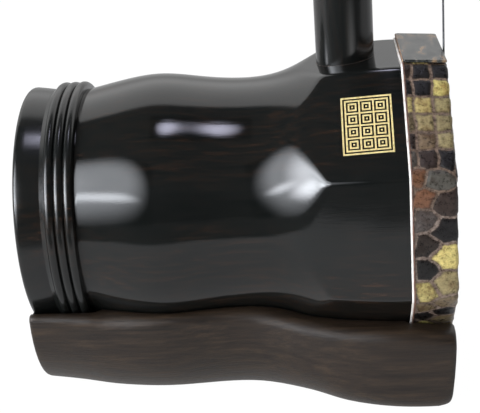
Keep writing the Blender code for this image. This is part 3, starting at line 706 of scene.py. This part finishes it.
# Rows of scales down the near side of the band: distance round from the middle of the top, and
# their tones; the columns are how far the scales stand from the skin's face
SQUARE_ROWS = [(20.8, "black", "black", "umber"), (26.4, "gold", "black", "black"),
               (32.2, "olive", "yellow", "yellow"), (38.0, "olive", "olive", "dull_olive"),
               (43.8, "olive", "dull_olive", "umber"), (49.6, "black", "umber", "grey")]
SQUARE_COLUMNS = (2.3, 7.9, 13.6)
SQUARE_STEP = 5.8
DIAMOND_FRONT = [(63.4, "umber"), (71.6, "black"), (80.0, "gold"), (88.2, "olive"), (96.2, "dull_olive"),
                 (104.0, "black")]
DIAMOND_REAR = [(61.6, "tan"), (68.2, "grey"), (76.2, "umber"), (83.4, "black"), (90.6, "yellow"),
                (98.6, "dull_olive"), (106.0, "black")]
DIAMOND_COLUMNS = (3.8, 9.8)
DIAMOND_STEP = 8.0
HIDDEN_COLUMN = 15.6         # past the skin's rear edge: it closes the scales before it
FACE_STEP = (4.3, 7.8)       # from scale to scale on the face, across and up
SKIN_INSIDE = 4              # rings of the skin that lie against the wood
SKIN_SEED = 11


def band_apothem(behind):
    return SKIN_APOTHEM_FRONT + (SKIN_APOTHEM_REAR - SKIN_APOTHEM_FRONT) * behind / SKIN_BAND


BAND_FLAT = 2 * (band_apothem(SKIN_BAND / 2) - SKIN_CORNER) * math.tan(HALF_SIDE)
SIDE_LENGTH = BAND_FLAT + 2 * HALF_SIDE * SKIN_CORNER


def band_point(round_at, behind):
    """A point of the band, at a distance round from the middle of the top towards the near side."""
    place = round_at / SIDE_LENGTH
    side = math.floor(place + 0.5)
    along, out = side_point(band_apothem(behind), SKIN_CORNER, place - side)
    return on_facet((2 + side) % SIDES, behind, along, out)


def wild_tone(x, y, z):
    """A tone from the snake's large blotches, for scales whose own tone isn't named."""
    blotch = noise.noise(Vector((x, y, z)) * 0.055)
    small = noise.noise(Vector((x, y, z)) * 0.31 + Vector((7.0, 3.0, 1.0)))
    if blotch > 0.10:
        return "black" if small > -0.1 else "umber"
    if blotch > -0.02:
        return "gold" if small > 0.12 else "yellow"
    if blotch > -0.16:
        return "olive" if small > 0.0 else "dull_olive"
    return "grey" if small > 0.05 else "umber"


def scale_centres():
    """Middle and tone of every scale, on the band and on the stretched face."""
    scales = []

    def add(point, tone=None):
        scales.append((point, tone or wild_tone(*point)))

    for at, *tones in SQUARE_ROWS:
        for behind, tone in zip(SQUARE_COLUMNS, tones):
            add(band_point(at, behind), tone)
    for behind in SQUARE_COLUMNS:
        for k in range(-9, 1):
            add(band_point(15.0 + k * SQUARE_STEP, behind))
    add(band_point(56.4, 6.4), "grey")
    add(band_point(55.6, 12.0), "tan")
    for behind, rows in zip(DIAMOND_COLUMNS, (DIAMOND_FRONT, DIAMOND_REAR)):
        for at, tone in rows:
            add(band_point(at, behind), tone)
    for k in range(14):
        for column, behind in enumerate(DIAMOND_COLUMNS + (HIDDEN_COLUMN,)):
            at = 110.0 + DIAMOND_STEP * (k + 0.5 * (column % 2))
            if at < SIDES * SIDE_LENGTH - 40.0:
                add(band_point(at, behind))
    for k in range(6):
        add(band_point(59.5 + DIAMOND_STEP * k, HIDDEN_COLUMN), ("umber", "grey", "black")[k % 3])
    for row in range(-7, 8):
        for column in range(-11, 12):
            y, z = FACE_STEP[0] * column, FACE_STEP[1] * (row + 0.5 * (column % 2))
            edge = max(abs(y * math.cos(a) + z * math.sin(a)) for a in spaced(0.0, math.pi * 3 / 4, 4))
            if edge < SKIN_APOTHEM_FRONT - 2.2:
                add((SKIN_X, y, AXIS_Z + z))
    return scales


def squash(place):
    """Shorten the way along the body, which turns the staggered scales of the band into diamonds."""
    return Vector((place.x * SCALE_SQUASH, place.y, place.z))


def skin_forms():
    """Rings of the skin as (behind, apothem, corner radius), from inside round to the face's middle."""
    rear, front, t = SKIN_APOTHEM_REAR, SKIN_APOTHEM_FRONT, SKIN_THICKNESS
    forms = [(t, front - 2.0 * t, 2.4), (2.0, front - t, 3.0), (SKIN_BAND - 0.1, rear - t, 3.0),
             (SKIN_BAND, rear - 0.25, 3.4)]
    band = spaced(SKIN_BAND - 0.15, SKIN_EDGE, 27)
    forms += [(behind, band_apothem(behind), SKIN_CORNER) for behind in band]
    fold = arc(SKIN_EDGE, band_apothem(SKIN_EDGE) - SKIN_EDGE, SKIN_EDGE, 7 / 6, 2, 6)
    forms += [(behind, apothem, SKIN_CORNER - 0.1 * i) for i, (behind, apothem) in enumerate(fold, 1)]
    edge = forms[-1][1]
    for i in range(1, 44):
        apothem = edge * (1 - i / 44)
        forms.append((0.0, apothem, min(3.0, apothem * 0.5)))
    return forms


def scale_pattern(points, first):
    """Distance from the nearest seam, and tone, of every point from the first outer one on."""
    scales = scale_centres()
    tree = kdtree.KDTree(len(scales))
    for i, (place, _) in enumerate(scales):
        tree.insert(squash(Vector(place)), i)
    tree.balance()
    noise.seed_set(SKIN_SEED)
    rng = np.random.default_rng(SKIN_SEED)
    tint = rng.normal(1.0, 0.08, (len(scales), 1)) * rng.normal(1.0, 0.02, (len(scales), 3))
    seam, tone = np.full(len(points), 2.0), np.zeros((len(points), 4))
    for i in range(first, len(points)):
        here = Vector(points[i])
        here += noise.noise_vector(here * 0.33) * 0.55 + noise.noise_vector(here * 1.1) * 0.2
        (a, owner, near), (b, _, far) = tree.find_n(squash(here), 2)
        loose = float(ease(AXIS_Z + 13.0, AXIS_Z + 5.0, points[i][2]))
        seam[i] = (far * far - near * near) / (2 * max((a - b).length, 0.1)) * (1.15 - 0.3 * loose)
        tone[i] = (*(np.array(TONES[scales[owner][1]]) * tint[owner]), loose)
    return seam, tone


def raise_scales(grid, seam, forms):
    """Push the scales outwards: away from the axis on the band, forwards on the face."""
    height = np.clip(seam / 1.5, 0.0, 1.0)
    height = SCALE_RELIEF * (height * height * (3 - 2 * height) - 0.75)
    height = height.reshape(grid.shape[:2])
    height[:SKIN_INSIDE] = 0.0
    out = grid * (0.0, 1.0, 1.0) - (0.0, 0.0, AXIS_Z)
    out /= np.linalg.norm(out, axis=2)[:, :, None]
    lean = np.clip(np.array(forms)[:, 0] / SKIN_EDGE, 0.0, 1.0)[:, None, None]
    direction = out * lean + (1.0 - lean) * (1.0, 0.0, 0.0)
    return grid + direction * height[:, :, None]


def make_skin():
    forms = skin_forms()
    grid = np.array([even_ring(*form, 92) for form in forms])
    seam, tone = scale_pattern(grid.reshape(-1, 3), SKIN_INSIDE * grid.shape[1])
    mesh = loft(raise_scales(grid, seam, forms).tolist(), sharp=60.0)
    layer = mesh.attributes.new("seam_distance", "FLOAT", "POINT")
    layer.data.foreach_set("value", seam.astype(np.float32))
    layer = mesh.attributes.new("scale_tone", "FLOAT_COLOR", "POINT")
    layer.data.foreach_set("color", tone.astype(np.float32).ravel())
    piece("scaled_skin", mesh, PYTHON, ["python_skin"])


def make_edging():
    """The white line behind the skin, with a rounded crown."""
    start = SKIN_X - high("skin_edging").x
    width = high("skin_edging").x - low("skin_edging").x
    base = float(facet_apothem(start)) - 0.1
    section = [(0.0, 0.0, 3.0), (0.0, 0.63, 3.6), (0.12, 0.75, 3.7), (width - 0.15, 0.65, 3.65),
               (width, 0.45, 3.5), (width, 0.0, 3.0)]
    rings = [even_ring(start + behind, base + rise, corner, 40) for behind, rise, corner in section]
    piece("white_line", loft(rings, closed=True), WHITE, ["skin_edging"])


def make_cut_edge():
    """The raw edge of the skin beside the white line."""
    section = [(-0.02, -0.5), (-0.02, 0.02), (0.14, -0.02), (0.26, -0.2), (0.26, -0.6)]
    rings = [even_ring(SKIN_BAND + behind, SKIN_APOTHEM_REAR + rise, SKIN_CORNER, 40)
             for behind, rise in section]
    piece("skin_cut_edge", loft(rings, closed=True), RAW_EDGE)


def make_guard():
    """The plate: thin and soft-cornered, with a pale sawn edge at its back."""
    centre, size = middle("bow_guard"), high("bow_guard") - low("bow_guard")
    tilt = math.atan2(SKIN_APOTHEM_REAR - SKIN_APOTHEM_FRONT, SKIN_BAND)
    plan = rounded_rectangle(size.x / 2, size.y / 2, 0.7, 6)
    # Height from the plate's middle, and how far its outline is drawn in there
    edge = [(-0.375, 0.05), (-0.275, 0.0), (0.155, 0.0), (0.305, 0.07), (0.375, 0.25), (0.395, 0.9)]
    rings = []
    for level, inset in edge:
        share_x, share_y = 1 - 2 * inset / size.x, 1 - 2 * inset / size.y
        rings.append([(centre.x + x * share_x * math.cos(tilt), y * share_y,
                       centre.z - x * share_x * math.sin(tilt) + level) for x, y in plan])
    piece("horn_plate", loft(rings), HORN, ["bow_guard"])
    rear = (centre.x - (size.x / 2 + 0.03) * math.cos(tilt), 0, centre.z + size.x / 2 * math.sin(tilt) - 0.12)
    sawn = box_mesh((0.34, size.y - 1.0, 0.85), rear, 0.12, tilt)
    piece("plate_glue_line", sawn, SAWN_EDGE)


def is_gold(i, j):
    """A frame round the seal's cells, then a grid of squares, each with a smaller one and a dot in it."""
    across, down = SEAL_CELLS
    ring = min(i, j, across - 1 - i, down - 1 - j)
    if ring < 2:
        return ring == 0
    u, v = (i - 2) % SEAL_MODULE, (j - 2) % SEAL_MODULE
    return min(u, v, SEAL_MODULE - u, SEAL_MODULE - v) % 2 == 0


def make_seal():
    """Gold lines let into the facet: a plain geometric pattern of nested squares in a frame."""
    across, down = SEAL_CELLS
    slope = math.atan2(float(facet_apothem(SEAL_CENTRE - 7) - facet_apothem(SEAL_CENTRE + 7)), 14.0)
    turn = Matrix.Rotation(math.pi / 4, 4, "X") @ Matrix.Rotation(-slope, 4, "Y")
    foot = Vector(on_facet(3, SEAL_CENTRE, 0.0, float(facet_apothem(SEAL_CENTRE))))
    bm = bmesh.new()
    corners = {}

    def corner(place, level):
        if (place, level) not in corners:
            u, v = place
            way = turn @ Vector(((u - across / 2) * SEAL_STROKE, (v - down / 2) * SEAL_STROKE, level))
            corners[place, level] = bm.verts.new((foot + way) * MM)
        return corners[place, level]

    for i, j in np.ndindex(across, down):
        if not is_gold(i, j):
            continue
        cell = [(i, j), (i + 1, j), (i + 1, j + 1), (i, j + 1)]
        for level in (SEAL_TOP, SEAL_BOTTOM):
            bm.faces.new([corner(place, level) for place in cell])
        for k, beside in enumerate(((i, j - 1), (i + 1, j), (i, j + 1), (i - 1, j))):
            if not is_gold(*beside):
                a, b = cell[k], cell[(k + 1) % 4]
                wall = ((a, SEAL_TOP), (a, SEAL_BOTTOM), (b, SEAL_BOTTOM), (b, SEAL_TOP))
                bm.faces.new([corner(*way) for way in wall])
    bmesh.ops.recalc_face_normals(bm, faces=bm.faces)
    piece("gold_lines", mesh_from(bm), GOLD, ["seal_inlay"])


# ---------------------------------------------------------------- neck and pegs

def head_ring(t, shift=0.0, shrink=0.0):
    """Ring of the bent head, t from 0 at its root to 1 at its tip."""
    root = NECK_STATIONS[-1][1:]
    half_u, half_v, radius = [a + (b - a) * t for a, b in zip(root, HEAD_TIP_HALF)]
    bend = HEAD_BEND * t
    outward = Vector((math.cos(bend), 0.0, math.sin(bend)))
    tangent = Vector((-math.sin(bend), 0.0, math.cos(bend)))
    centre = Vector((NECK_X - HEAD_BEND_RADIUS * (1.0 - math.cos(bend)), 0.0,
                     AXIS_Z + NECK_STATIONS[-1][0] + HEAD_BEND_RADIUS * math.sin(bend))) + tangent * shift
    return [tuple(centre + outward * u + Vector((0.0, v, 0.0)))
            for u, v in rounded_rectangle(half_u - shrink, half_v - shrink, radius - shrink, 14)]


def peg_radius(which, x):
    t = (PEG_TIP_X[which] - x) / PEG_SHAFT
    return PEG_TIP_RADIUS + (PEG_ROOT_RADIUS - PEG_TIP_RADIUS) * t


def make_neck():
    rings = []
    heights = [-50.5, -49.9] + spaced(-40.0, 480.0, 30) + spaced(494.0, 524.0, 16) + spaced(535.0, 652.0, 12)
    for z in heights:
        chamfer = 0.5 if z == heights[0] else 0.0
        form = [value - chamfer for value in hermite(NECK_STATIONS, z)]
        rings.append([(NECK_X + u, v, AXIS_Z + z) for u, v in rounded_rectangle(*form, 14)])
    rings += [head_ring(i / 32) for i in range(1, 33)]
    holes = []
    for which, z in PEG_Z.items():
        a, b = NECK_X - 14.0, NECK_X + 14.0
        holes.append(rod_mesh(peg_radius(which, a) + NECK_GAP, (a, 0, z), (b, 0, z), 48,
                              peg_radius(which, b) + NECK_GAP))
    holes.append(upright_rod(2.7, AXIS_Z - 60.0, AXIS_Z - 35.0, 32))
    piece("carved_neck", cut(loft(rings), *holes), LACQUER_NECK, ["neck"])


def make_neck_glue():
    """An uneven line of glue where the neck's foot enters the top flat."""
    bead = [(-0.2, -0.25), (0.14, -0.2), (0.15, -0.05), (0.1, 0.03), (-0.2, 0.06)]
    rings = []
    for i in range(96):
        angle = 2 * math.pi * i / 96
        way = Vector((math.cos(angle), math.sin(angle), 0.0))
        level = AXIS_Z + float(facet_apothem(SKIN_X - NECK_X - way.x * NECK_RADIUS))
        level += 0.10 * noise.noise(way * 2.1 + Vector((0.0, 0.0, 4.0)))
        rings.append([(NECK_X + (NECK_RADIUS + out) * way.x, (NECK_RADIUS + out) * way.y, level + up)
                      for out, up in bead])
    piece("neck_glue_line", loft(rings, closed=True), GLUE)


def make_head_cap():
    rings = [head_ring(1.0, 0.05), head_ring(1.0, 1.6)]
    rings += [head_ring(1.0, 1.6 + 0.6 * math.sin(a), 0.9 * (1 - math.cos(a))) for a in spaced(0.2, 1.4, 5)]
    piece("bone_cap", loft(rings), BONE, ["head_cap"])


def make_peg(which):
    """Turned peg with a fluted grip, and its bone button, riding on its own turning body."""
    body = which + "_peg"
    centre = (PEG_TIP_X[which], 0, PEG_Z[which])
    shaft, end = -PEG_SHAFT, -(PEG_SHAFT + PEG_HANDLE)
    profile = [(0.3, 0.0), (PEG_TIP_RADIUS - 0.6, 0.0), (PEG_TIP_RADIUS - 0.15, -0.2), (PEG_TIP_RADIUS, -0.7)]
    taper = PEG_ROOT_RADIUS - PEG_TIP_RADIUS
    profile += [(PEG_TIP_RADIUS + taper * t, shaft * t) for t in spaced(0.1, 1.0, 10)]
    for angle in spaced(math.pi / 12, math.pi * 11 / 12, 11):
        profile.append((5.5 + 1.7 * math.sin(angle), shaft - 2.5 + 2.1 * math.cos(angle)))
    profile += [(5.3, shaft - 4.9), (5.9, shaft - 5.4)]
    grip = [(5.4, 5.95), (14.0, 6.6), (32.0, 8.0), (52.0, 9.8), (68.0, 11.2), (79.0, 12.0), (83.0, 11.9)]
    profile += [(hermite(grip, x)[0], shaft - x) for x in spaced(6.4, 83.0, 40)]
    heel = [(11.5, 5.0), (10.6, 3.4), (9.4, 2.2), (8.2, 1.3), (6.6, 0.75), (5.0, 0.5), (0.3, 0.5)]
    profile += [(radius, end + x) for radius, x in heel]

    def flutes(x, angle):
        share = float(ease(shaft - 9.0, shaft - 20.0, x) * (1.0 - ease(end + 9.0, end + 3.0, x)))
        return 1.0 - 0.055 * share * (0.5 + 0.5 * math.cos(PEG_FLUTES * angle)) ** 0.6

    mesh = revolve(profile, centre, 144, flutes=flutes)
    piece("fluted_peg_" + which, mesh, LACQUER, ["peg_" + which], body)
    button = [(0.2, 0.45), (4.2, 0.45), (4.25, 0.1), (4.0, -0.4), (3.5, -1.0), (2.7, -1.5), (1.6, -1.85),
              (0.2, -2.0)]
    mesh = revolve([(radius, end + x) for radius, x in button], centre, 64)
    piece("bone_button_" + which, mesh, BONE, ["peg_button_" + which], body)


# ---------------------------------------------------------------- strings and thread loop

def wire(points, radius, resolution=3):
    curve = bpy.data.curves.new("wire", "CURVE")
    curve.dimensions = "3D"
    line = curve.splines.new("POLY")
    line.points.add(len(points) - 1)
    for point, place in zip(line.points, points):
        point.co = (*[c * MM for c in place], 1.0)
    curve.bevel_depth = radius * MM
    curve.bevel_resolution = resolution
    curve.use_fill_caps = True
    return curve


def make_winding(string):
    """The string's turns on its peg, laid side by side."""
    which, radius = STRING_PEG[string], STRING_RADIUS[string]
    start = PEG_TIP_X[which] - WINDING_OFFSET - radius
    steps = WINDING_LENGTH / (2.15 * radius) * 18
    points = []
    for i in range(int(steps) + 1):
        angle = 2 * math.pi * i / 18
        x = start - (WINDING_LENGTH - 2 * radius) * i / steps
        r = peg_radius(which, x) + radius + 0.03
        points.append((x, r * math.cos(angle), PEG_Z[which] + r * math.sin(angle)))
    piece(string + "_string_turns", wire(points, radius, 2), STEEL, [string + "_winding"], which + "_peg")


def make_string(string):
    """A string from the hook over the skin's top edge and through the loop to its peg."""
    which, radius = STRING_PEG[string], STRING_RADIUS[string]
    side = -1.0 if string == "inner" else 1.0
    peg_x = PEG_TIP_X[which] - WINDING_OFFSET - WINDING_LENGTH / 2
    reach = peg_radius(which, peg_x) + radius + 0.1
    spread, loop = STRING_SPREAD[string], STRING_SPREAD_LOOP[string]
    x, x_loop = SKIN_X + STRING_FRONT, SKIN_X + STRING_AT_LOOP
    foot_z = low("tail_hook").z + 3.0
    points = [(x, spread, foot_z), (x, spread, AXIS_Z + 40.0), (x, spread, AXIS_Z + 44.0),
              (x + 0.02, spread, AXIS_Z + 46.0), (x_loop, loop, LOOP_Z - LOOP_BAND / 2),
              (x_loop, loop, LOOP_Z + LOOP_BAND / 2), (peg_x, side * reach, PEG_Z[which])]
    piece("fine_" + string + "_string", wire(points, radius), STEEL, [string + "_string"])
    ferrule = [(0.2, 0.0), (0.8, 0.0), (0.9, 0.5), (0.9, 1.5), (0.8, 2.0), (0.2, 2.0)]
    angles = spaced(0.0, 2 * math.pi * 23 / 24, 24)
    rings = [[(x + r * math.cos(a), spread + r * math.sin(a), foot_z - 1.0 + up) for a in angles]
             for r, up in ferrule]
    piece(string + "_string_ferrule", loft(rings), BRASS)


def make_loop():
    """Nine turns of thread laid side by side round the neck and the two strings."""
    big = float(hermite(NECK_STATIONS, LOOP_Z - AXIS_Z)[0]) + 0.12 + LOOP_THICKNESS / 2
    nose_x = SKIN_X + STRING_AT_LOOP - LOOP_NOSE_BACK
    lean = math.asin((big - LOOP_NOSE) / (nose_x - NECK_X))
    tilt = lean / (math.pi / 2)

    def straight(t, side):
        """A point of the straight run from the neck to the nose in front of the strings."""
        reach = big * (1 - t) + LOOP_NOSE * t
        return NECK_X + (nose_x - NECK_X) * t + reach * math.sin(lean), side * reach * math.cos(lean)

    outline = arc(NECK_X, 0.0, big, 1 - tilt, 3 + tilt, 40)
    outline += [straight(t, -1.0) for t in spaced(0.1, 0.9, 9)]
    outline += arc(nose_x, 0.0, LOOP_NOSE, tilt - 1, 1 - tilt, 15)
    outline += [straight(t, 1.0) for t in spaced(0.9, 0.1, 9)]
    half, pitch = LOOP_THICKNESS / 2, LOOP_BAND / LOOP_TURNS
    section = [(-half, LOOP_BAND / 2), (-half, -LOOP_BAND / 2)]
    for turn in range(LOOP_TURNS):
        for angle in spaced(0.12 * math.pi, 0.88 * math.pi, 7):
            section.append((half - 0.42 + 0.46 * math.sin(angle),
                            pitch * (turn + 0.5 - 0.5 * math.cos(angle)) - LOOP_BAND / 2))
    rings = []
    for i, (x, y) in enumerate(outline):
        (xa, ya), (xb, yb) = outline[i - 1], outline[(i + 1) % len(outline)]
        along = Vector((xb - xa, yb - ya)).normalized()
        level = LOOP_Z + 0.2 * pitch * (i / len(outline) - 0.5)
        rings.append([(x + along.y * out, y - along.x * out, level + up * 0.97) for out, up in section])
    piece("wound_qianjin", loft(rings, closed=True, sharp=70.0), THREAD, ["qianjin"], "thread_loop")


# ---------------------------------------------------------------- base

def trough_outline(behind, top):
    """The cradle's inside from its middle out to its rim, as (y, z) from the soundbox axis."""
    angles = np.linspace(0.0, math.pi / 2, 150)
    turn = np.abs(angles / (2 * HALF_SIDE) - np.round(angles / (2 * HALF_SIDE))) * 2 * HALF_SIDE
    band = (SKIN_APOTHEM_REAR + 0.3) / np.cos(turn)
    wood = body_radius(min(behind, COLLAR_FRONT - 3.0), angles) + BASE_CLEAR
    wood = wood + (40.0 - wood) * ease(COLLAR_FRONT - 4.0, COLLAR_FRONT - 0.4, behind)
    radius = band + (wood - band) * ease(SKIN_BAND + 1.0, SKIN_BAND + 2.5, behind)
    y, z = radius * np.sin(angles), -radius * np.cos(angles)
    below = z < top
    length = np.concatenate([[0.0], np.cumsum(np.hypot(np.diff(y[below]), np.diff(z[below])))])
    even = np.linspace(0.0, length[-1], 26)
    return list(zip(np.interp(even, length, y[below]).tolist(), np.interp(even, length, z[below]).tolist()))


def base_section(behind, inset):
    """Half the base's section, from the middle of its underside round to the trough's middle."""
    half, top, bottom, corner = hermite(BASE_STATIONS, behind)
    half, bottom = half - inset, bottom + inset
    corner = max(corner - inset, 1.0)
    inside = trough_outline(behind, top)
    top -= inset
    edge_y = inside[-1][0] + 0.35
    soft = min(BASE_ROUND, (half - edge_y) * 0.8)
    wall = bottom + corner
    outline = [(0.0, bottom)] + [((half - corner) * t, bottom) for t in (0.5, 0.9)]
    outline += arc(half - corner, wall, corner, -1, 0, 13)
    outline += [(half, wall + (top - soft - wall) * t) for t in (0.35, 0.7)]
    outline += arc(half - soft, top - soft, soft, 0, 1, 11)
    outline += [(edge_y + (half - soft - edge_y) * t, top) for t in (0.6, 0.2)]
    outline.append((edge_y - 0.15, top - 0.12))
    return outline + [(y, min(z, top - 0.3)) for y, z in reversed(inside)]


def make_base():
    """The carved cradle, cut out for the neck's foot, the hook and the screw."""
    front, rear = BASE_STATIONS[0][0], BASE_STATIONS[-1][0]
    rounding = [(0.0, 1.1), (0.06, 0.7), (0.25, 0.34), (0.55, 0.11), (1.0, 0.0)]
    behinds = [2.2, 4.0, 7.0, 10.0, 13.0, 13.7, 14.4, 15.2, 16.0] + spaced(18.0, 128.0, 56)
    plan = [(front + way, inset) for way, inset in rounding] + [(behind, 0.0) for behind in behinds]
    plan += [(rear - way, inset) for way, inset in reversed(rounding)]
    rings = []
    for behind, inset in plan:
        half = base_section(behind, inset)
        top, bottom = hermite(BASE_STATIONS, behind)[1:3]
        ring = []
        for y, z in half + [(-y, z) for y, z in reversed(half[1:-1])]:
            depth = min(max((top - z) / (top - bottom), 0.0), 1.0)
            lean = BASE_LEAN * depth ** 2 * (1.0 - float(ease(0.0, 30.0, behind)))
            ring.append((SKIN_X - behind - lean, y, AXIS_Z + z))
        rings.append(ring)
    slot_z = low("tail_hook").z - 0.2
    slot_end = SKIN_X + 4.0
    socket = upright_rod(9.2, AXIS_Z - 50.8, AXIS_Z)
    slot = box_mesh((slot_end - NECK_X, 9.6, 14.0), ((slot_end + NECK_X) / 2, 0, slot_z + 7.0))
    eye = upright_rod(13.3, slot_z, slot_z + 14.0)
    shank = upright_rod(2.7, -4.0, AXIS_Z - 40.0, 40)
    countersink = upright_rod(5.4, -0.5, 3.6, 48, 2.7)
    piece("carved_base", cut(loft(rings), socket, slot, eye, shank, countersink), BASE_WOOD, ["base"])


def finish_kept_nodes():
    """The CAD pieces that stay as they are get their finer material."""
    for node in ("tail_hook", "base_screw"):
        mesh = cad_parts[node].data
        mesh.materials.clear()
        mesh.materials.append(BRASS)


# ---------------------------------------------------------------- studio

def sheet(name, half_x, half_y, made):
    """A flat rectangle of a surface, in metres."""
    mesh = bpy.data.meshes.new(name)
    mesh.from_pydata([(-half_x, -half_y, 0), (half_x, -half_y, 0), (half_x, half_y, 0), (-half_x, half_y, 0)],
                     [], [(0, 1, 2, 3)])
    mesh.materials.append(made.material)
    return link(name, mesh)


def panel(name, centre, target, size):
    """A flat panel facing its target, all in metres, with the place of its own middle as its origin."""
    made = Surface(name, Base_Color=(0.0, 0.0, 0.0), Roughness=1.0, Specular_IOR_Level=0.0)
    obj = sheet(name, size[0] / 2, size[1] / 2, made)
    obj.location = centre
    obj.rotation_euler = (Vector(target) - Vector(centre)).to_track_quat("Z", "Y").to_euler()
    obj.visible_camera = False
    return made


def glow_spot(made, middle_at, half, edge, level):
    """A soft-edged oval of light on a panel: level at its middle, nothing past its rim."""
    scale = (1 / half[0], 1 / half[1], 1.0)
    shift = (-middle_at[0] / half[0], -middle_at[1] / half[1], 0.0)
    source = made.add("TexCoord", {}).outputs["Object"]
    place = made.add("Mapping", {"Vector": source, "Scale": scale, "Location": shift}).outputs[0]
    length = made.add("VectorMath", {0: place}, operation="LENGTH").outputs["Value"]
    return made.fade(length, 1.0 - edge, 1.0, level, 0.0)


def light_up(made, spots, colour):
    """Add spots of light up into a panel's glow."""
    total = 0.0
    for spot in spots:
        total = made.math("ADD", glow_spot(made, *spot), total)
    made.feed(made.shader.inputs["Emission Strength"], total)
    made.feed(made.shader.inputs["Emission Color"], colour)


def make_lights():
    """A big soft light to the left of the camera and a smaller one overhead."""
    away = 1.4
    lit_at = Vector((-0.01, 0.0, 0.06))
    way, side = Vector((-0.65, -0.76, 0.0)), Vector((0.76, -0.65, 0.0))
    centre = lit_at + (way + side * -0.18 + Vector((0.0, 0.0, 0.60))) * away
    main = panel("main_light", centre, centre - way, (1.7 * away, 1.5 * away))
    # Each spot: its middle, its half sizes, how soft its edge is, and its strength
    spots = [((-0.05, 0.0), (0.80, 0.76), 0.65, 5.6), ((0.25, -0.12), (0.50, 0.50), 0.95, 10.5),
             ((-0.26, -0.21), (0.42, 0.11), 0.9, 11.0), ((0.20, -0.36), (0.46, 0.16), 0.9, 14.0)]
    light_up(main, [((x * away, y * away), (w * away, h * away), edge, level)
                    for (x, y), (w, h), edge, level in spots], (0.90, 0.94, 1.0))
    top = panel("top_light", (0.10, -0.18, 2.5), (0.10, -0.18, 0.0), (0.9, 1.1))
    spots = [((0.0, 0.0), (0.31, 0.44), 0.65, 8.0), ((-0.04, 0.0), (0.2, 0.4), 0.9, 4.0)]
    light_up(top, spots, (0.80, 0.80, 1.0))


def make_world():
    """A room that is white behind and dim in front; straight to the camera it is plain white."""
    world = bpy.data.worlds.new("studio")
    bpy.context.scene.world = world
    world.use_nodes = True
    made = Nodes(world.node_tree)
    way = made.add("SeparateXYZ", {0: made.add("TexCoord", {}).outputs["Generated"]}).outputs
    behind = made.fade(made.plus(way[1], way[2], -0.42), -0.03, 0.05, 0.10, 1.30)
    room = made.math("MULTIPLY", behind, made.fade(way[2], 0.22, 0.50, 0.45, 1.0))
    direct = made.add("LightPath", {}).outputs["Is Camera Ray"]
    background = made.tree.nodes["Background"].inputs
    made.feed(background["Color"], (1.0, 1.0, 1.0))
    made.feed(background["Strength"], made.add("Mix", {0: direct, 2: room, 3: 1.0}).outputs[0])


def make_floor():
    made = Surface("pale_floor", Base_Color=(0.45, 0.45, 0.45), Roughness=0.9, Specular_IOR_Level=0.0,
                   Emission_Color=(1.0, 1.0, 1.0), Emission_Strength=0.62)
    floor = sheet("floor", 20.0, 20.0, made)
    shade_floor(made)


def shade_floor(made):
    """Plain white to the camera; mirrored in the lacquer it is bright only near the object, like a table."""
    place = made.add("TexCoord", {}).outputs["Object"]
    across = made.add("SeparateXYZ", {"Vector": place}).outputs[1]
    far = made.fade(across, -0.198, -0.218, 0.42, 1.0)
    gleam = made.add("VectorMath", {0: place, 1: (0.235, -0.385, 0.0)}, operation="DISTANCE").outputs["Value"]
    dim = made.add("Emission", {"Strength": made.fade(gleam, 0.01, 0.17, 2.6, 0.12)}).outputs[0]
    path = made.add("LightPath", {}).outputs
    mirrored = made.add("MixShader", {0: made.math("MULTIPLY", far, path["Is Glossy Ray"]),
                                      1: made.shader.outputs[0], 2: dim}).outputs[0]
    white = made.add("Emission", {"Strength": 1.02}).outputs[0]
    direct = made.math("MULTIPLY", path["Is Camera Ray"], 0.93)
    seen = made.add("MixShader", {0: direct, 1: mirrored, 2: white}).outputs[0]
    made.feed(made.tree.nodes["Material Output"].inputs["Surface"], seen)


def make_camera():
    """The view of the soundbox from its near side, from a little above and slightly tilted."""
    azimuth, elevation, roll = math.radians(4.51), math.radians(20.12), math.radians(-4.24)
    target = Vector((-0.3, 0.0, 54.6)) * MM
    distance = 401.2 * MM
    back = Vector((math.sin(azimuth) * math.cos(elevation), -math.cos(azimuth) * math.cos(elevation),
                   math.sin(elevation)))
    level = (-back).cross(Vector((0.0, 0.0, 1.0))).normalized()
    upright = level.cross(-back)
    right = level * math.cos(roll) + upright * math.sin(roll)
    up = upright * math.cos(roll) - level * math.sin(roll)
    data = bpy.data.cameras.new("camera")
    data.lens = 92.92
    data.sensor_width = 36.0
    data.clip_start = 0.01
    data.clip_end = 100.0
    camera = link("camera", data)
    turn = Matrix((right, up, back)).transposed().to_4x4()
    camera.matrix_world = Matrix.Translation(target + back * distance) @ turn
    bpy.context.scene.camera = camera


make_camera()
make_staves()
make_collar()
make_window()
make_skin()
make_edging()
make_cut_edge()
make_guard()
make_seal()
make_neck()
make_neck_glue()
make_head_cap()
for peg in ("upper", "lower"):
    make_peg(peg)
for name in ("inner", "outer"):
    make_string(name)
    make_winding(name)
make_loop()
make_base()
finish_kept_nodes()

make_world()
make_floor()
make_lights()

bpy.context.scene.view_settings.view_transform = "Standard"
